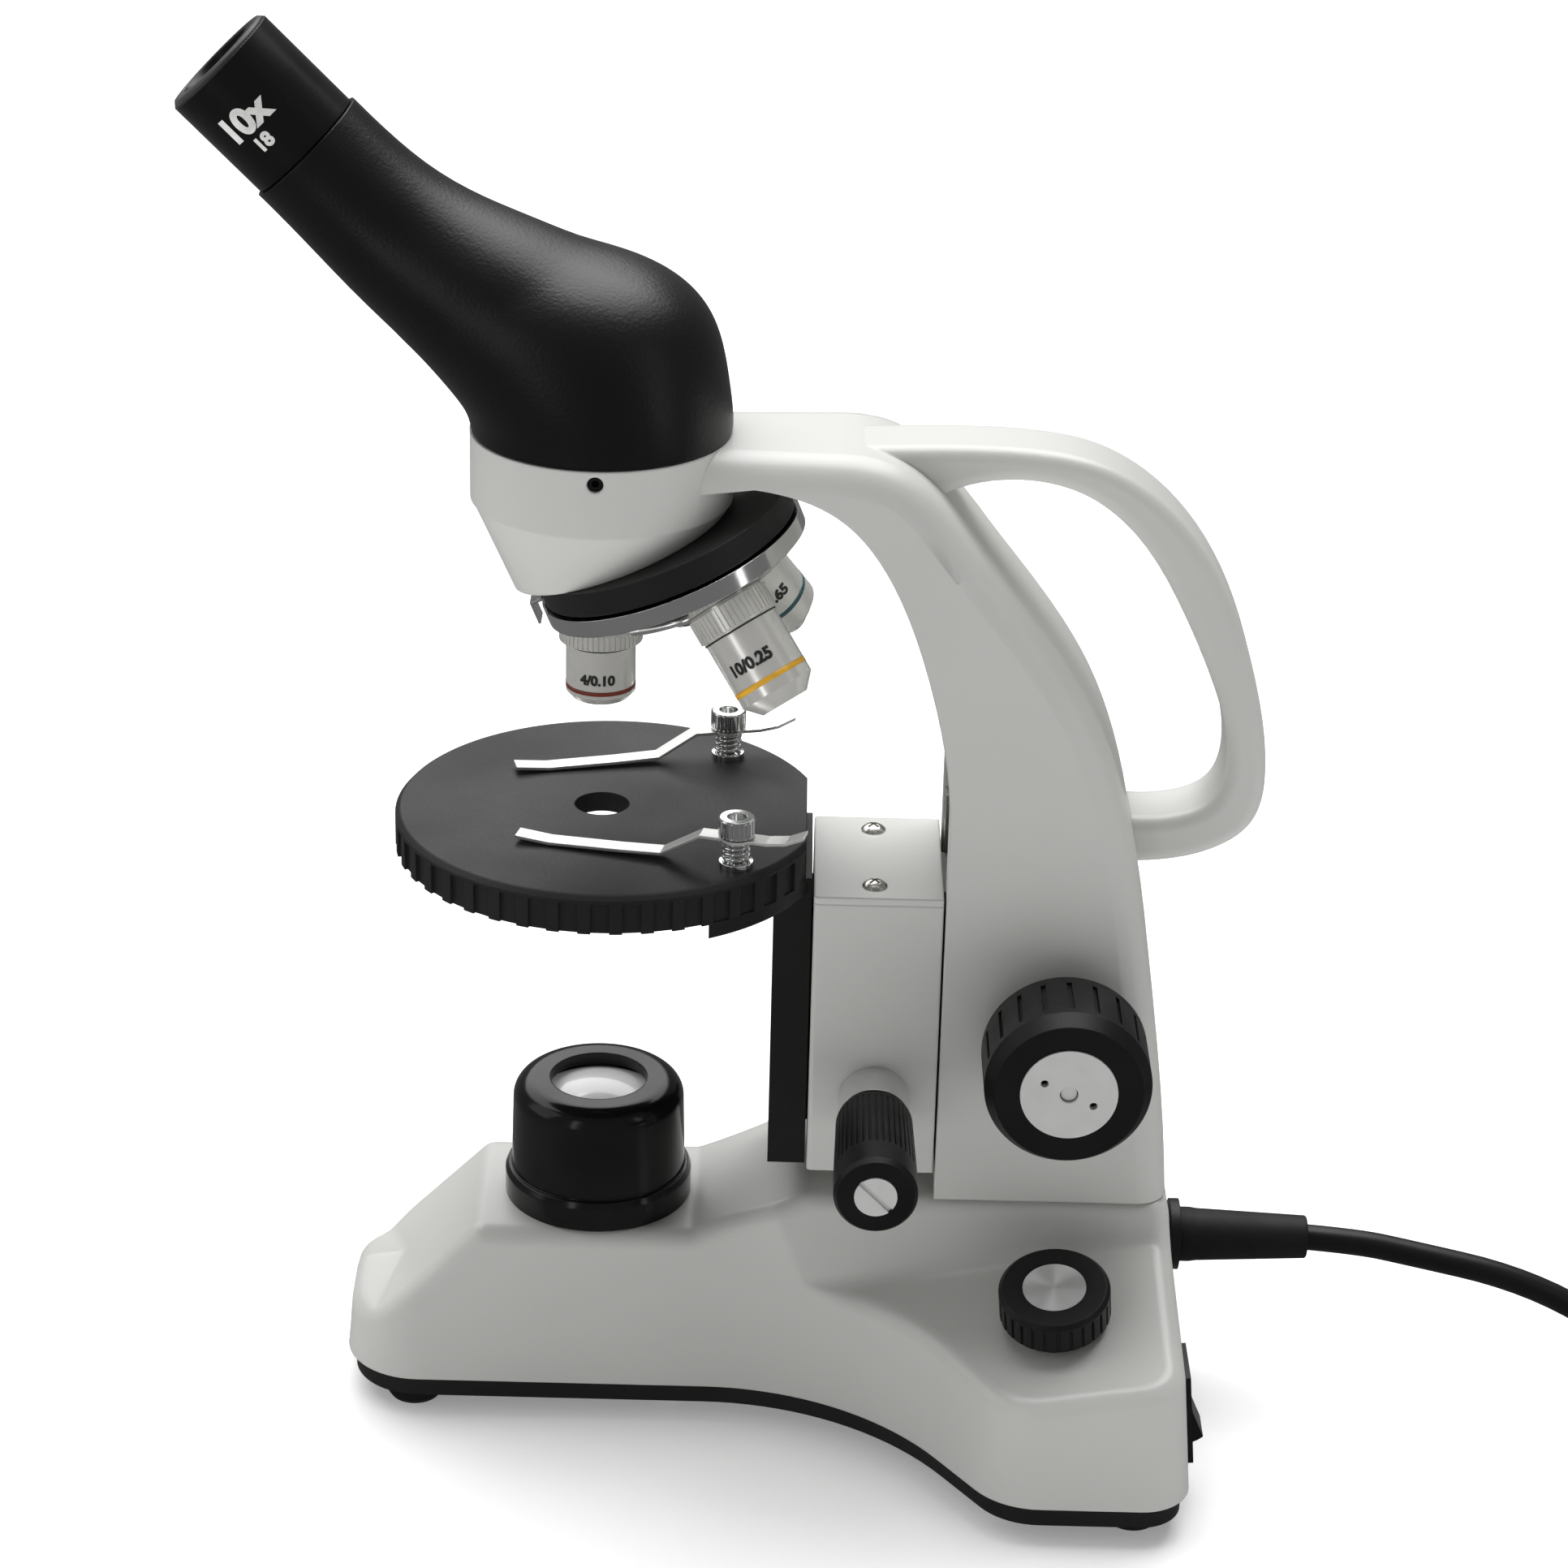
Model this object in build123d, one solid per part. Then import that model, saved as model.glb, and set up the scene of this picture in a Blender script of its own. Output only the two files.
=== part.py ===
"""Monocular student microscope with a built-in lamp: mechanical stand, optics, focusing and electrics.

Millimetres. While modelling, x is measured from the optical axis, y from the middle plane and z from the
floor; +X points to the back of the stand, where the mains lead leaves. Every part is moved along X on
export, so that the finished file's origin is the middle of the microscope's footprint.
"""

import math
import os

from build123d import *

# ---- driving dimensions -------------------------------------------------------------------------------
CENTRE_X = 33.4  # middle of the microscope's length, from the optical axis
STAGE_Z = 167.0  # top of the stage at rest
STAGE_R = 55.0
STAGE_THICK = 10.3
STAGE_X = 2.7  # centre of the stage disc

FOOT_H = 5.0
PLATE_TOP = 11.5
BASE_Z = 11.0  # lower edge of the casting
BASE_FRONT_X = -66.5
BASE_REAR_X = 155.0
TOE_HALF = 29.0
BASE_HALF = 82.5
PLATEAU_Z = 55.0  # where the lamp stands
PLINTH_Z = 67.5  # where the arm stands
BASE_WALL = 3.0
BASE_DRAFT = 5.0  # degrees

ARM_FRONT_X = 88.6
ARM_HALF = 25.0
NECK_HALF = 20.8
NECK_TOP_Z = 268.4
GRIP_HALF = 10.5

RING_R = 32.5  # head socket
RING_STEP_Z = 251.2
SOCKET_R = 24.0
SOCKET_FLOOR_Z = 258.0

TILT = 22.5  # degrees, nosepiece axis from the vertical
APEX_Z = 277.3  # where all objective axes meet, on the optical axis
NOSE_DIST = 44.4  # apex to the joint plane between fixed and turning plates
NOSE_R = 34.4
DOME_R = 60.0  # the turning plate's dome, about the apex
OBJECTIVE_4_TIP = 79.8  # tips, measured from the apex
OBJECTIVE_10_TIP = 88.0
OBJECTIVE_40_TIP = 91.0

LAMP_R = 22.8
LAMP_FLANGE_R = 24.7
LAMP_TOP_Z = 88.0
LAMP_HOLE_R = 12.8

TUBE_TILT = 45.0  # degrees, eyepiece axis from the vertical
TUBE_END = (-71.0, 170.4 + STAGE_Z)  # x and z of the end of the head, on the eyepiece axis
EYEPIECE_R = 15.3
EYEPIECE_LEN = 29.3
BARREL_R = 11.6

BLOCK_X = (55.2, 88.0)
BLOCK_HALF = 24.5
BLOCK_Z = (75.0, 153.7)
RAIL_X = (45.0, 54.7)
RAIL_HALF = 20.0
RAIL_BOTTOM_Z = 74.6

COARSE_X = 119.5
COARSE_Z = 117.25
COARSE_KNOB_R = 21.0
COARSE_END_Y = 58.0
GEAR_MODULE = 0.6
PINION_TEETH = 18
PRESSURE = 20.0  # degrees

FINE_X = 72.0
FINE_Z = 96.5
FINE_END_Y = 75.0

CLIP_SWING = 13.0  # degrees, each clip points inwards by this much

SHAFT_GAP = 0.05  # radial running clearance
CORD_D = 7.0
CORD_Z = 44.3
CORD_END_X = 190.0  # end of the strain relief

SEAT_DIST = 59.6  # objective seats, from the apex
PIVOT_R = 4.5
STAGE_RIBS = 44
CLIP_NEAR = (35.5, -35.2)
CLIP_FAR = (32.0, 32.0)
CLIP_HALF = 2.4
CLIP_THICK = 0.8
LID_THICK = 2.0
LID_SCREW_X = 70.6
LID_SCREW_Y = 17.0
PINION_R = GEAR_MODULE * PINION_TEETH / 2
BACKLASH = 0.12
RACK_Z = (86.0, 138.0)
GLAND_X = 153.0

# The lead's route: out of the strain relief, down to the floor and round to its coil, then on to the plug.
LEAD_ROUTE = [
    (190, 0, 44.3), (216, -0.3, 40.8), (249, -2.2, 34.2), (276, -5.6, 20.5), (298, -10, 6), (319.2, -12.8, 3.8),
    (339.2, -6.1, 3.8), (354.8, 8.1, 3.8), (363.4, 27.4, 3.8), (363.5, 44, 3.8),
]
TAIL_ROUTE = [(363.3, 58, 23), (362.8, 78, 20.5), (359, 102, 9), (350, 122, 4.2), (339, 140, 6.9)]
COIL_CENTRE = (322.0, 50.0)
COIL_R = (34.0, 41.0)  # inner and outer turns
COIL_LIFT = 6.4  # each layer above the one below
ARM_SCREWS = [(98, -17.5), (98, 17.5), (140, -15), (140, 15)]
FEET = [(-48, -17), (-48, 17), (141, -68), (141, 68)]
PLATE_SCREWS = [(-56, 0), (20, -19), (20, 19), (105, -68), (105, 68), (146, 0)]
SWITCH_Y = (-62.0, -48.0)
SWITCH_Z = (15.0, 37.5)
ROCKER_PIVOT = -1.0  # below the wall's surface
ROCKER_REACH = 9.3
ROCKER_PIN_R = 1.3
BASE_EDGE_R = 5.0
DIMMER = Vector(120.0, -51.3, 47.7)
DIMMER_AXIS = Vector(-0.09, -0.28, 1).normalized()


# ---- helpers ------------------------------------------------------------------------------------------
def box(x, y, z):
    """A box between two values on each axis."""
    size = [hi - lo for lo, hi in (x, y, z)]
    return Pos(*[(lo + hi) / 2 for lo, hi in (x, y, z)]) * Box(*size)


def rod(radius, start, end):
    """A cylinder from start to end."""
    a, b = Vector(*start), Vector(*end)
    along = b - a
    plane = Plane(origin=a, z_dir=along.normalized())
    return extrude(plane * Circle(radius), along.length)


def ring(outer, inner, start, end):
    a, b = Vector(*start), Vector(*end)
    step = (b - a).normalized() * 1.0
    return rod(outer, start, end) - rod(inner, tuple(a - step), tuple(b + step))


def turned(points, axis_plane):
    """A profile of (radius, height) points, revolved about the z axis of axis_plane."""
    face = make_face(Polyline(*[(r, 0, h) for r, h in points], close=True).edges())
    return axis_plane * revolve(face, Axis.Z)


def upright(x, y, z):
    return Plane(origin=(x, y, z))


def side_prism(face, half):
    """A side profile extruded the same distance to both sides of the middle plane."""
    return extrude(Pos(0, -half, 0) * face, 2 * half, dir=(0, 1, 0))


def xz(*points):
    return [(x, 0, z) for x, z in points]


def knurled(shape, radius, count, width, depth, plane, z0, z1):
    """Cut count grooves along the axis of plane, between heights z0 and z1."""
    height = z1 - z0
    groove = Pos(radius, 0, (z0 + z1) / 2) * Box(2 * depth, width, height)
    cuts = [plane * Rot(0, 0, 360 * i / count) * groove for i in range(count)]
    return shape - cuts


def mirrored(shape):
    return mirror(shape, Plane.XZ)


def both_sides(shape):
    """The shape and its mirror image, as one group of separate solids."""
    return Compound(children=[*shape.solids(), *mirrored(shape).solids()])


def group(*shapes):
    return Compound(children=[s for shape in shapes for s in shape.solids()])


# ---- base ---------------------------------------------------------------------------------------------
def facing_up(sketch):
    face = sketch.faces()[0]
    return face if face.normal_at().Z > 0 else -face


def base_outline(inset):
    """The plan of the base: a narrow toe that flares in an S to a broad back."""
    corners = [
        (BASE_FRONT_X + inset, 0),
        (BASE_FRONT_X + inset, TOE_HALF - inset),
        (68 + inset / 2, TOE_HALF - inset),
        (106 + inset / 2, BASE_HALF - inset),
        (BASE_REAR_X - inset, BASE_HALF - inset),
        (BASE_REAR_X - inset, 0),
    ]
    rounds = [20 - inset, 75 + inset, 20 - inset, 13 - inset]
    half = FilletPolyline(*corners, radius=rounds)
    return facing_up(make_face([*half.edges(), *mirrored(half).edges()]))


def shoulder_height(x, y):
    """Height of the sloping ledges beside the plinth."""
    return 52.2 + 0.16 * (x - 110) - 0.25 * (abs(y) - 27)


def ledge_section(x, drop):
    reach = 95
    low = -90
    top = [(x, reach, shoulder_height(x, reach) - drop)]
    top += [(x, 0, shoulder_height(x, 0) - drop), (x, -reach, shoulder_height(x, reach) - drop)]
    return make_face(Polyline((x, -reach, low), (x, reach, low), *top, close=True).edges())


def base_form(inset):
    """The base's outer form, or its hollow when inset by the wall."""
    rise = PLINTH_Z - BASE_Z - inset
    draft = rise * math.tan(math.radians(BASE_DRAFT))
    outlines = [Pos(0, 0, BASE_Z) * base_outline(inset), Pos(0, 0, BASE_Z + rise) * base_outline(inset + draft)]
    prism = loft(outlines, ruled=True)
    ledges = loft([ledge_section(-90, inset), ledge_section(170, inset)], ruled=True)
    nose = xz(
        (BASE_FRONT_X - 1, 0),
        (BASE_FRONT_X - 1, 17 - inset),
        (-31, PLATEAU_Z - inset),
        (26, PLATEAU_Z - inset),
        (56, PLINTH_Z - inset),
        (BASE_REAR_X + 1, PLINTH_Z - inset),
        (BASE_REAR_X + 1, 0),
    )
    spine = side_prism(make_face(Polyline(*nose, close=True).edges()), 60)
    flare = math.tan(math.radians(12)) * PLINTH_Z
    half = 25.5 - inset
    x = BASE_FRONT_X - 2
    trapezoid = [(x, half + flare, 0), (x, half, PLINTH_Z), (x, -half, PLINTH_Z), (x, -half - flare, 0)]
    spine &= extrude(make_face(Polyline(*trapezoid, close=True).edges()), 230, dir=(1, 0, 0))
    return prism & (spine + ledges)


def dimmer_point(distance):
    """A point on the brightness knob's axis, measured from the ledge's surface."""
    return tuple(DIMMER + DIMMER_AXIS * distance)


def base_casting():
    form = base_form(0)
    form = fillet([e for e in form.edges() if e.center().Z > 25], BASE_EDGE_R)
    hollow = base_form(BASE_WALL) & box((-100, 200), (-100, 100), (0, PLINTH_Z - 6))
    form -= hollow
    form -= rod(11, (0, 0, 40), (0, 0, 60))
    form -= rod(6.2, (140, 0, CORD_Z), (170, 0, CORD_Z))
    form -= box((140, 170), SWITCH_Y, SWITCH_Z)
    form -= rod(3.6, dimmer_point(-14), dimmer_point(8))
    for x, y in ARM_SCREWS:
        form -= rod(2.6, (x, y, PLINTH_Z - 12), (x, y, PLINTH_Z + 1))
    return form


def base_plate():
    """A shallow tray that closes the underside, a little inside the casting's edge."""
    tray = extrude(Pos(0, 0, FOOT_H) * base_outline(2.0), PLATE_TOP - FOOT_H - 0.5)
    tray -= extrude(Pos(0, 0, FOOT_H + 1.5) * base_outline(4.0), PLATE_TOP)
    for x, y in FEET:
        tray -= rod(2.2, (x, y, 0), (x, y, 20))
    for x, y in PLATE_SCREWS:
        tray -= rod(1.8, (x, y, 0), (x, y, 20))
    return tray


def rubber_feet():
    """Four turned feet, each with a stem through the plate and a lip above it."""
    feet = []
    for x, y in FEET:
        profile = [(0, 0), (6.6, 0), (7.4, 1.2), (7.4, FOOT_H), (2.2, FOOT_H)]
        profile += [(2.2, FOOT_H + 1.5), (3.2, FOOT_H + 1.6), (2.0, FOOT_H + 4), (0, FOOT_H + 4)]
        feet.append(turned(profile, upright(x, y, 0)))
    return group(*feet)


def plate_screws():
    screws = []
    for x, y in PLATE_SCREWS:
        head = rod(3.0, (x, y, FOOT_H - 1.6), (x, y, FOOT_H)) + rod(1.5, (x, y, FOOT_H), (x, y, FOOT_H + 6))
        head -= box((x - 2, x + 2), (y - 0.4, y + 0.4), (FOOT_H - 2, FOOT_H - 0.9))
        head -= box((x - 0.4, x + 0.4), (y - 2, y + 2), (FOOT_H - 2, FOOT_H - 0.9))
        screws.append(head)
    return group(*screws)


# ---- arm ----------------------------------------------------------------------------------------------
def arm_profile():
    """The bow of the arm from the side, from its foot to the neck."""
    back = Spline(
        *xz((149.4, PLINTH_Z), (141, 137), (123.4, 203.7), (91.5, 247.8), (59.4, NECK_TOP_Z)),
        tangents=[(-0.06, 0, 1), (-1, 0, 0)],
    )
    front = Spline(
        *xz((ARM_FRONT_X, 172), (83.1, 209.1), (67.9, 245.1), (38, 261)),
        tangents=[(0, 0, 1), (-1, 0, 0.1)],
    )
    top = Polyline(*xz((59.4, NECK_TOP_Z), (18, NECK_TOP_Z), (18, 258), (38, 261)))
    foot = Polyline(*xz((ARM_FRONT_X, 172), (ARM_FRONT_X, PLINTH_Z), (149.4, PLINTH_Z)))
    return make_face([*back.edges(), *top.edges(), *front.edges(), *foot.edges()])


def arm_bow():
    bow = side_prism(arm_profile(), ARM_HALF)
    plan = [(155, -ARM_HALF, 60), (155, ARM_HALF, 60), (88, ARM_HALF, 60), (15, NECK_HALF - 0.6, 60)]
    plan += [(15, -NECK_HALF + 0.6, 60), (88, -ARM_HALF, 60)]
    bow &= extrude(facing_up(make_face(Polyline(*plan, close=True).edges())), 230)
    ridge = [e for e in bow.edges() if e.geom_type == GeomType.BSPLINE and on_back(e.center())]
    return fillet(ridge, 8.0)


def on_back(point):
    """Whether a point lies on the rear ridge of the bow."""
    return point.X > 100 or point.Z > 255


def grip():
    """The carrying loop behind the bow."""
    outer = Spline(*xz(
        (50, 268.2), (80, 268.6), (106, 268.2), (122, 265.2), (138.5, 255.4), (153.8, 236),
        (164.8, 206.5), (168.4, 185.2), (165.6, 169.5), (154.3, 161.4), (139, 158.4), (122, 158),
    ))
    outer_close = Polyline(*xz((122, 158), (110, 200), (70, 250), (50, 264), (50, 268.2)))
    inner = Spline(*xz(
        (84, 256), (103, 260.3), (119.5, 256.5), (132.6, 246), (144.2, 228),
        (153.6, 207.5), (158.2, 190), (155, 175.8), (145, 171.2), (135, 170.6), (122, 171),
    ))
    inner_close = Polyline(*xz((122, 171), (84, 256)))
    loop = side_prism(make_face([*outer.edges(), *outer_close.edges()]), GRIP_HALF)
    loop -= side_prism(make_face([*inner.edges(), *inner_close.edges()]), GRIP_HALF + 1)
    return fillet([e for e in loop.edges() if e.geom_type == GeomType.BSPLINE], 3.4)


def head_ring():
    """The socket that carries the head, tapering to the nosepiece below."""
    profile = [(0, NECK_TOP_Z), (RING_R, NECK_TOP_Z), (RING_R, RING_STEP_Z), (RING_R - 0.5, RING_STEP_Z - 0.4)]
    profile += [(21.0, 226), (0, 226)]
    return turned(profile, upright(0, 0, 0))


def nose_plane(distance):
    """A plane square to the nosepiece axis, this far from the apex; its z points down the axis."""
    slope = math.radians(TILT)
    axis = Vector(math.sin(slope), 0, -math.cos(slope))
    return Plane(origin=Vector(0, 0, APEX_Z) + axis * distance, x_dir=(math.cos(slope), 0, math.sin(slope)),
                 z_dir=axis)


def arm_casting():
    body = arm_bow() + grip() + head_ring()
    body -= nosepiece_room()
    body -= rod(SOCKET_R, (0, 0, SOCKET_FLOOR_Z), (0, 0, NECK_TOP_Z + 1))
    body -= rod(11, (0, 0, 200), (0, 0, NECK_TOP_Z))
    body -= rod(2.0, (0, -40, 265.2), (0, -20, 265.2))
    body -= arm_channel()
    body -= rod(6.0, (COARSE_X, -40, COARSE_Z), (COARSE_X, 40, COARSE_Z))
    for x, y in ARM_SCREWS:
        body -= rod(2.1, (x, y, PLINTH_Z - 1), (x, y, PLINTH_Z + 6))
    return body


def nosepiece_room():
    """The slanting cut under the head socket, and the round clearance for the nosepiece's rim."""
    plane = nose_plane(NOSE_DIST - 7.0)
    slant = plane * Pos(0, 0, 40) * Box(150, 150, 80) & box((-60, 38), (-60, 60), (150, 268))
    return slant + plane * Pos(0, 0, 10) * Cylinder(NOSE_R + 1.2, 20)


def arm_channel():
    """The recess in the arm's front where the focusing slide runs."""
    deep = box((80, 128), (-18, 18), (74, 168))
    shallow = box((80, 100), (-18, 18), (167, 196))
    return deep + shallow


# ---- head ---------------------------------------------------------------------------------------------
def head_sections(inset):
    """Ellipses from the round foot of the head to its eyepiece tube: centre x, z, half length, half width, tilt."""
    rows = [
        (0.0, NECK_TOP_Z + 0.3, 32.1, 32.1, 0),
        (-0.7, 274.3, 32.7, 32.4, 1.5),
        (-3.0, 282.0, 33.6, 32.6, 6.5),
        (-6.2, 289.0, 34.4, 32.0, 11),
        (-14.0, 297.6, 32.6, 29.8, 17),
        (-27.6, 304.4, 25.6, 25.0, 25),
        (-40.0, 311.6, 21.4, 21.4, 29),
        (-51.0, 318.8, 18.0, 18.2, 36),
        (-58.4, 325.0, 16.7, 16.9, 42),
        (-64.8, 331.2, 16.3, 16.3, 45),
        (TUBE_END[0], TUBE_END[1], 16.2, 16.2, 45),
    ]
    faces = []
    for x, z, a, b, tilt in rows:
        t = math.radians(tilt)
        across, along = (math.cos(t), 0, math.sin(t)), (-math.sin(t), 0, math.cos(t))
        plane = Plane(origin=(x, 0, z), x_dir=across, z_dir=along)
        faces.append(plane * Ellipse(a - inset, b - inset))
    return faces


def tube_point(distance):
    """A point on the eyepiece axis, measured outwards from the end of the head."""
    t = math.radians(TUBE_TILT)
    return (TUBE_END[0] - math.sin(t) * distance, 0, TUBE_END[1] + math.cos(t) * distance)


def head_shell():
    shell = loft(head_sections(0))
    shell -= loft(head_sections(3.0)[:-4])
    shell -= rod(13.5, tube_point(-45), tube_point(1))
    return shell


def head_dovetail():
    """The turning foot of the head: a flange inside the shell and a cone that the set screw grips."""
    top = NECK_TOP_Z + 0.3
    profile = [(12, 259), (22.6, 259), (23.6, 262), (21.8, top)]
    profile += [(28.9, top), (28.9, top + 3), (12, top + 3)]
    carrier = box((-12, 12), (-12, 12), (top + 3, top + 6)) - rod(8, (0, 0, top), (0, 0, top + 7))
    return turned(profile, upright(0, 0, 0)) + carrier


def head_prism():
    """A prism that turns the light from the vertical into the eyepiece tube."""
    base = NECK_TOP_Z + 6.5
    wedge = xz((-11, base), (11, base), (11, base + 9), (2, base + 20), (-11, base + 13))
    face = make_face(Polyline(*wedge, close=True).edges())
    return side_prism(face, 10)


def eyepiece_tube():
    return ring(13.4, BARREL_R + SHAFT_GAP, tube_point(-38), tube_point(-0.5))


# ---- eyepiece -----------------------------------------------------------------------------------------
def along_tube(distance):
    t = math.radians(TUBE_TILT)
    across, along = (math.cos(t), 0, math.sin(t)), (-math.sin(t), 0, math.cos(t))
    return Plane(origin=tube_point(distance), x_dir=across, z_dir=along)


def eyepiece_body():
    """The head and barrel of the eyepiece, bored for its lenses."""
    end = EYEPIECE_LEN
    profile = [(9.6, -32), (BARREL_R, -32), (BARREL_R, 0.3), (EYEPIECE_R, 0.3), (EYEPIECE_R, end - 1.2)]
    profile += [(EYEPIECE_R - 1.2, end), (10.2, end), (9.0, end - 3), (9.0, end - 10), (10.6, end - 10.5)]
    profile += [(10.6, 0), (9.6, -1)]
    return turned(profile, along_tube(0))


def lens_disc(radius, thick, bulge, plane):
    """A lens with one bulging face, towards +z of its plane."""
    big = (radius**2 + bulge**2) / (2 * bulge)
    dome = Pos(0, 0, thick + bulge - big) * Sphere(big)
    return plane * ((Pos(0, 0, (thick + bulge) / 2) * Cylinder(radius, thick + bulge)) & dome)


# ---- nosepiece ----------------------------------------------------------------------------------------
def nose_profile(points):
    """A turned piece of the nosepiece: (radius, distance from the apex)."""
    return turned(points, nose_plane(0))


def to_station(shape, station):
    """Turn a piece built on the working objective's axis to another station of the nosepiece."""
    plane = nose_plane(0)
    return shape.rotate(Axis(plane.origin, plane.z_dir), 120 * station)


def objective_profile(points):
    """A turned piece on the working objective's axis: (radius, distance from the apex)."""
    return turned([(r, APEX_Z - d) for r, d in points], upright(0, 0, 0))


def nosepiece_base():
    """The fixed plate under the head socket, with the light hole and the pivot's seat."""
    low, high = NOSE_DIST - 0.4, NOSE_DIST - 6.9
    plate = nose_profile([(PIVOT_R, high), (33.4, high), (33.4, low), (PIVOT_R, low)])
    return plate - rod(9.5, (0, 0, 200), (0, 0, 260))


def nosepiece_plate():
    """The turning plate: a domed dish with three seats square to the objective axes."""
    disc = nose_plane(0) * (Pos(0, 0, 55 + NOSE_DIST + 0.3) * Cylinder(NOSE_R, 110))
    plate = disc & Pos(0, 0, APEX_Z) * Sphere(DOME_R)
    dish = nose_plane(0) * (Pos(0, 0, 50) * Cylinder(NOSE_R - 3, 100))
    plate -= dish & Pos(0, 0, APEX_Z) * Sphere(DOME_R - 5)
    plate -= nose_plane(0) * (Pos(0, 0, 50) * Cylinder(PIVOT_R + SHAFT_GAP, 100))
    for station in (0, 1, -1):
        plate -= to_station(rod(10.0, (0, 0, 200), (0, 0, 240)), station)
        plate -= to_station(rod(10.9, (0, 0, 200), (0, 0, APEX_Z - SEAT_DIST)), station)
    return plate


def nosepiece_pivot():
    """The screw that the turning plate runs on, with its washer under the dome."""
    profile = [(0, NOSE_DIST - 6.9), (PIVOT_R, NOSE_DIST - 6.9), (PIVOT_R, 60.4), (7.2, 60.4), (7.2, 61.6)]
    profile += [(6.4, 62.4), (0, 62.4)]
    pivot = nose_profile(profile)
    return pivot - nose_plane(62.4) * Box(12, 1.2, 1.6)


def detent_spring():
    """The leaf that clicks into the turning plate's rim, with its screw."""
    plane = nose_plane(NOSE_DIST)
    leaf = plane * (Pos(-34.0, 0, -3.2) * Box(0.6, 7, 5.2))
    leaf += plane * (Pos(-35.4, 0, -0.7) * Box(3.2, 7, 0.6))
    leaf += plane * (Pos(-36.8, 0, 2.0) * Box(0.6, 7, 6.0))
    screw = Plane(origin=plane.from_local_coords(Vector(-34.3, 0, -3.4)), z_dir=-plane.x_dir)
    return leaf + screw * (Pos(0, 0, 0.7) * Cylinder(1.6, 1.4))


def objective_4x():
    tip = OBJECTIVE_4_TIP
    body = objective_profile([
        (6.0, 54), (9.9, 54), (9.9, SEAT_DIST), (10.55, SEAT_DIST), (10.55, 64.2), (8.9, 64.4), (8.9, 65.1),
        (8.8, 65.3), (8.8, tip - 1.8), (7.2, tip), (4.6, tip), (4.6, tip - 1.2), (6.0, tip - 3),
    ])
    return knurled(body, 10.55, 48, 0.35, 0.25, Pos(0, 0, 0), APEX_Z - 64.0, APEX_Z - SEAT_DIST - 0.3)


def objective_10x():
    tip = OBJECTIVE_10_TIP
    body = objective_profile([
        (6.0, 54), (9.9, 54), (9.9, SEAT_DIST), (10.55, SEAT_DIST), (10.55, 65.8), (9.9, 66.0), (9.9, 66.7),
        (9.7, 66.9), (9.7, tip - 3.8), (6.2, tip), (3.6, tip), (3.6, tip - 1.2), (6.0, tip - 4),
    ])
    body = knurled(body, 10.55, 48, 0.35, 0.25, Pos(0, 0, 0), APEX_Z - 65.6, APEX_Z - SEAT_DIST - 0.3)
    return to_station(body, -1)


def objective_40x():
    tip = OBJECTIVE_40_TIP
    body = objective_profile([
        (6.0, 54), (9.9, 54), (9.9, SEAT_DIST), (10.55, SEAT_DIST), (10.55, 65.8), (9.9, 66.0), (9.9, 66.7),
        (9.7, 66.9), (9.7, tip - 5.8), (7.6, tip - 3.6), (5.4 + SHAFT_GAP, tip - 3.6), (5.4 + SHAFT_GAP, 74),
        (6.0, 73.5),
    ])
    body = knurled(body, 10.55, 48, 0.35, 0.25, Pos(0, 0, 0), APEX_Z - 65.6, APEX_Z - SEAT_DIST - 0.3)
    return to_station(body, 1)


def objective_40x_nose():
    """The high-power objective's front cell, which springs back if it meets a slide."""
    tip = OBJECTIVE_40_TIP
    outer = [(2.4, 77), (5.4, 77), (5.4, tip - 1.6), (3.8, tip), (1.6, tip), (1.6, tip - 1)]
    nose = objective_profile([*outer, (2.4, tip - 2)])
    return to_station(nose, 1)


def objective_lenses():
    """Front lenses of the two low powers."""
    low = rod(4.55, (0, 0, APEX_Z - OBJECTIVE_4_TIP + 0.3), (0, 0, APEX_Z - OBJECTIVE_4_TIP + 1.1))
    mid = rod(3.55, (0, 0, APEX_Z - OBJECTIVE_10_TIP + 0.3), (0, 0, APEX_Z - OBJECTIVE_10_TIP + 1.1))
    return group(low, to_station(mid, -1))


def lens_40x():
    lens = rod(1.55, (0, 0, APEX_Z - OBJECTIVE_40_TIP + 0.2), (0, 0, APEX_Z - OBJECTIVE_40_TIP + 0.9))
    return to_station(lens, 1)


# ---- stage and its carrier ----------------------------------------------------------------------------
def stage_disc():
    low = STAGE_Z - STAGE_THICK
    profile = [(0, low + 5), (50, low + 5), (50, low), (STAGE_R, low), (STAGE_R, STAGE_Z - 1.4)]
    profile += [(STAGE_R - 1, STAGE_Z - 0.3), (STAGE_R - 1.4, STAGE_Z), (0, STAGE_Z)]
    centre = upright(STAGE_X, 0, 0)
    disc = turned(profile, centre)
    disc = knurled(disc, STAGE_R, STAGE_RIBS, 4.6, 0.9, centre, low - 1, STAGE_Z - 2.2)
    pad = box((28.0, 53.0), (-40, 40), (low, low + 6))
    disc += pad & rod(50.5, (STAGE_X, 0, low), (STAGE_X, 0, STAGE_Z))
    disc -= box((53, 70), (-60, 60), (low - 1, STAGE_Z + 1))
    disc -= rod(7.0, (0.5, 0, low), (0.5, 0, STAGE_Z + 1))
    for x, y in (CLIP_NEAR, CLIP_FAR):
        disc -= rod(1.8, (x, y, low - 1), (x, y, STAGE_Z + 1))
    return disc


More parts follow.
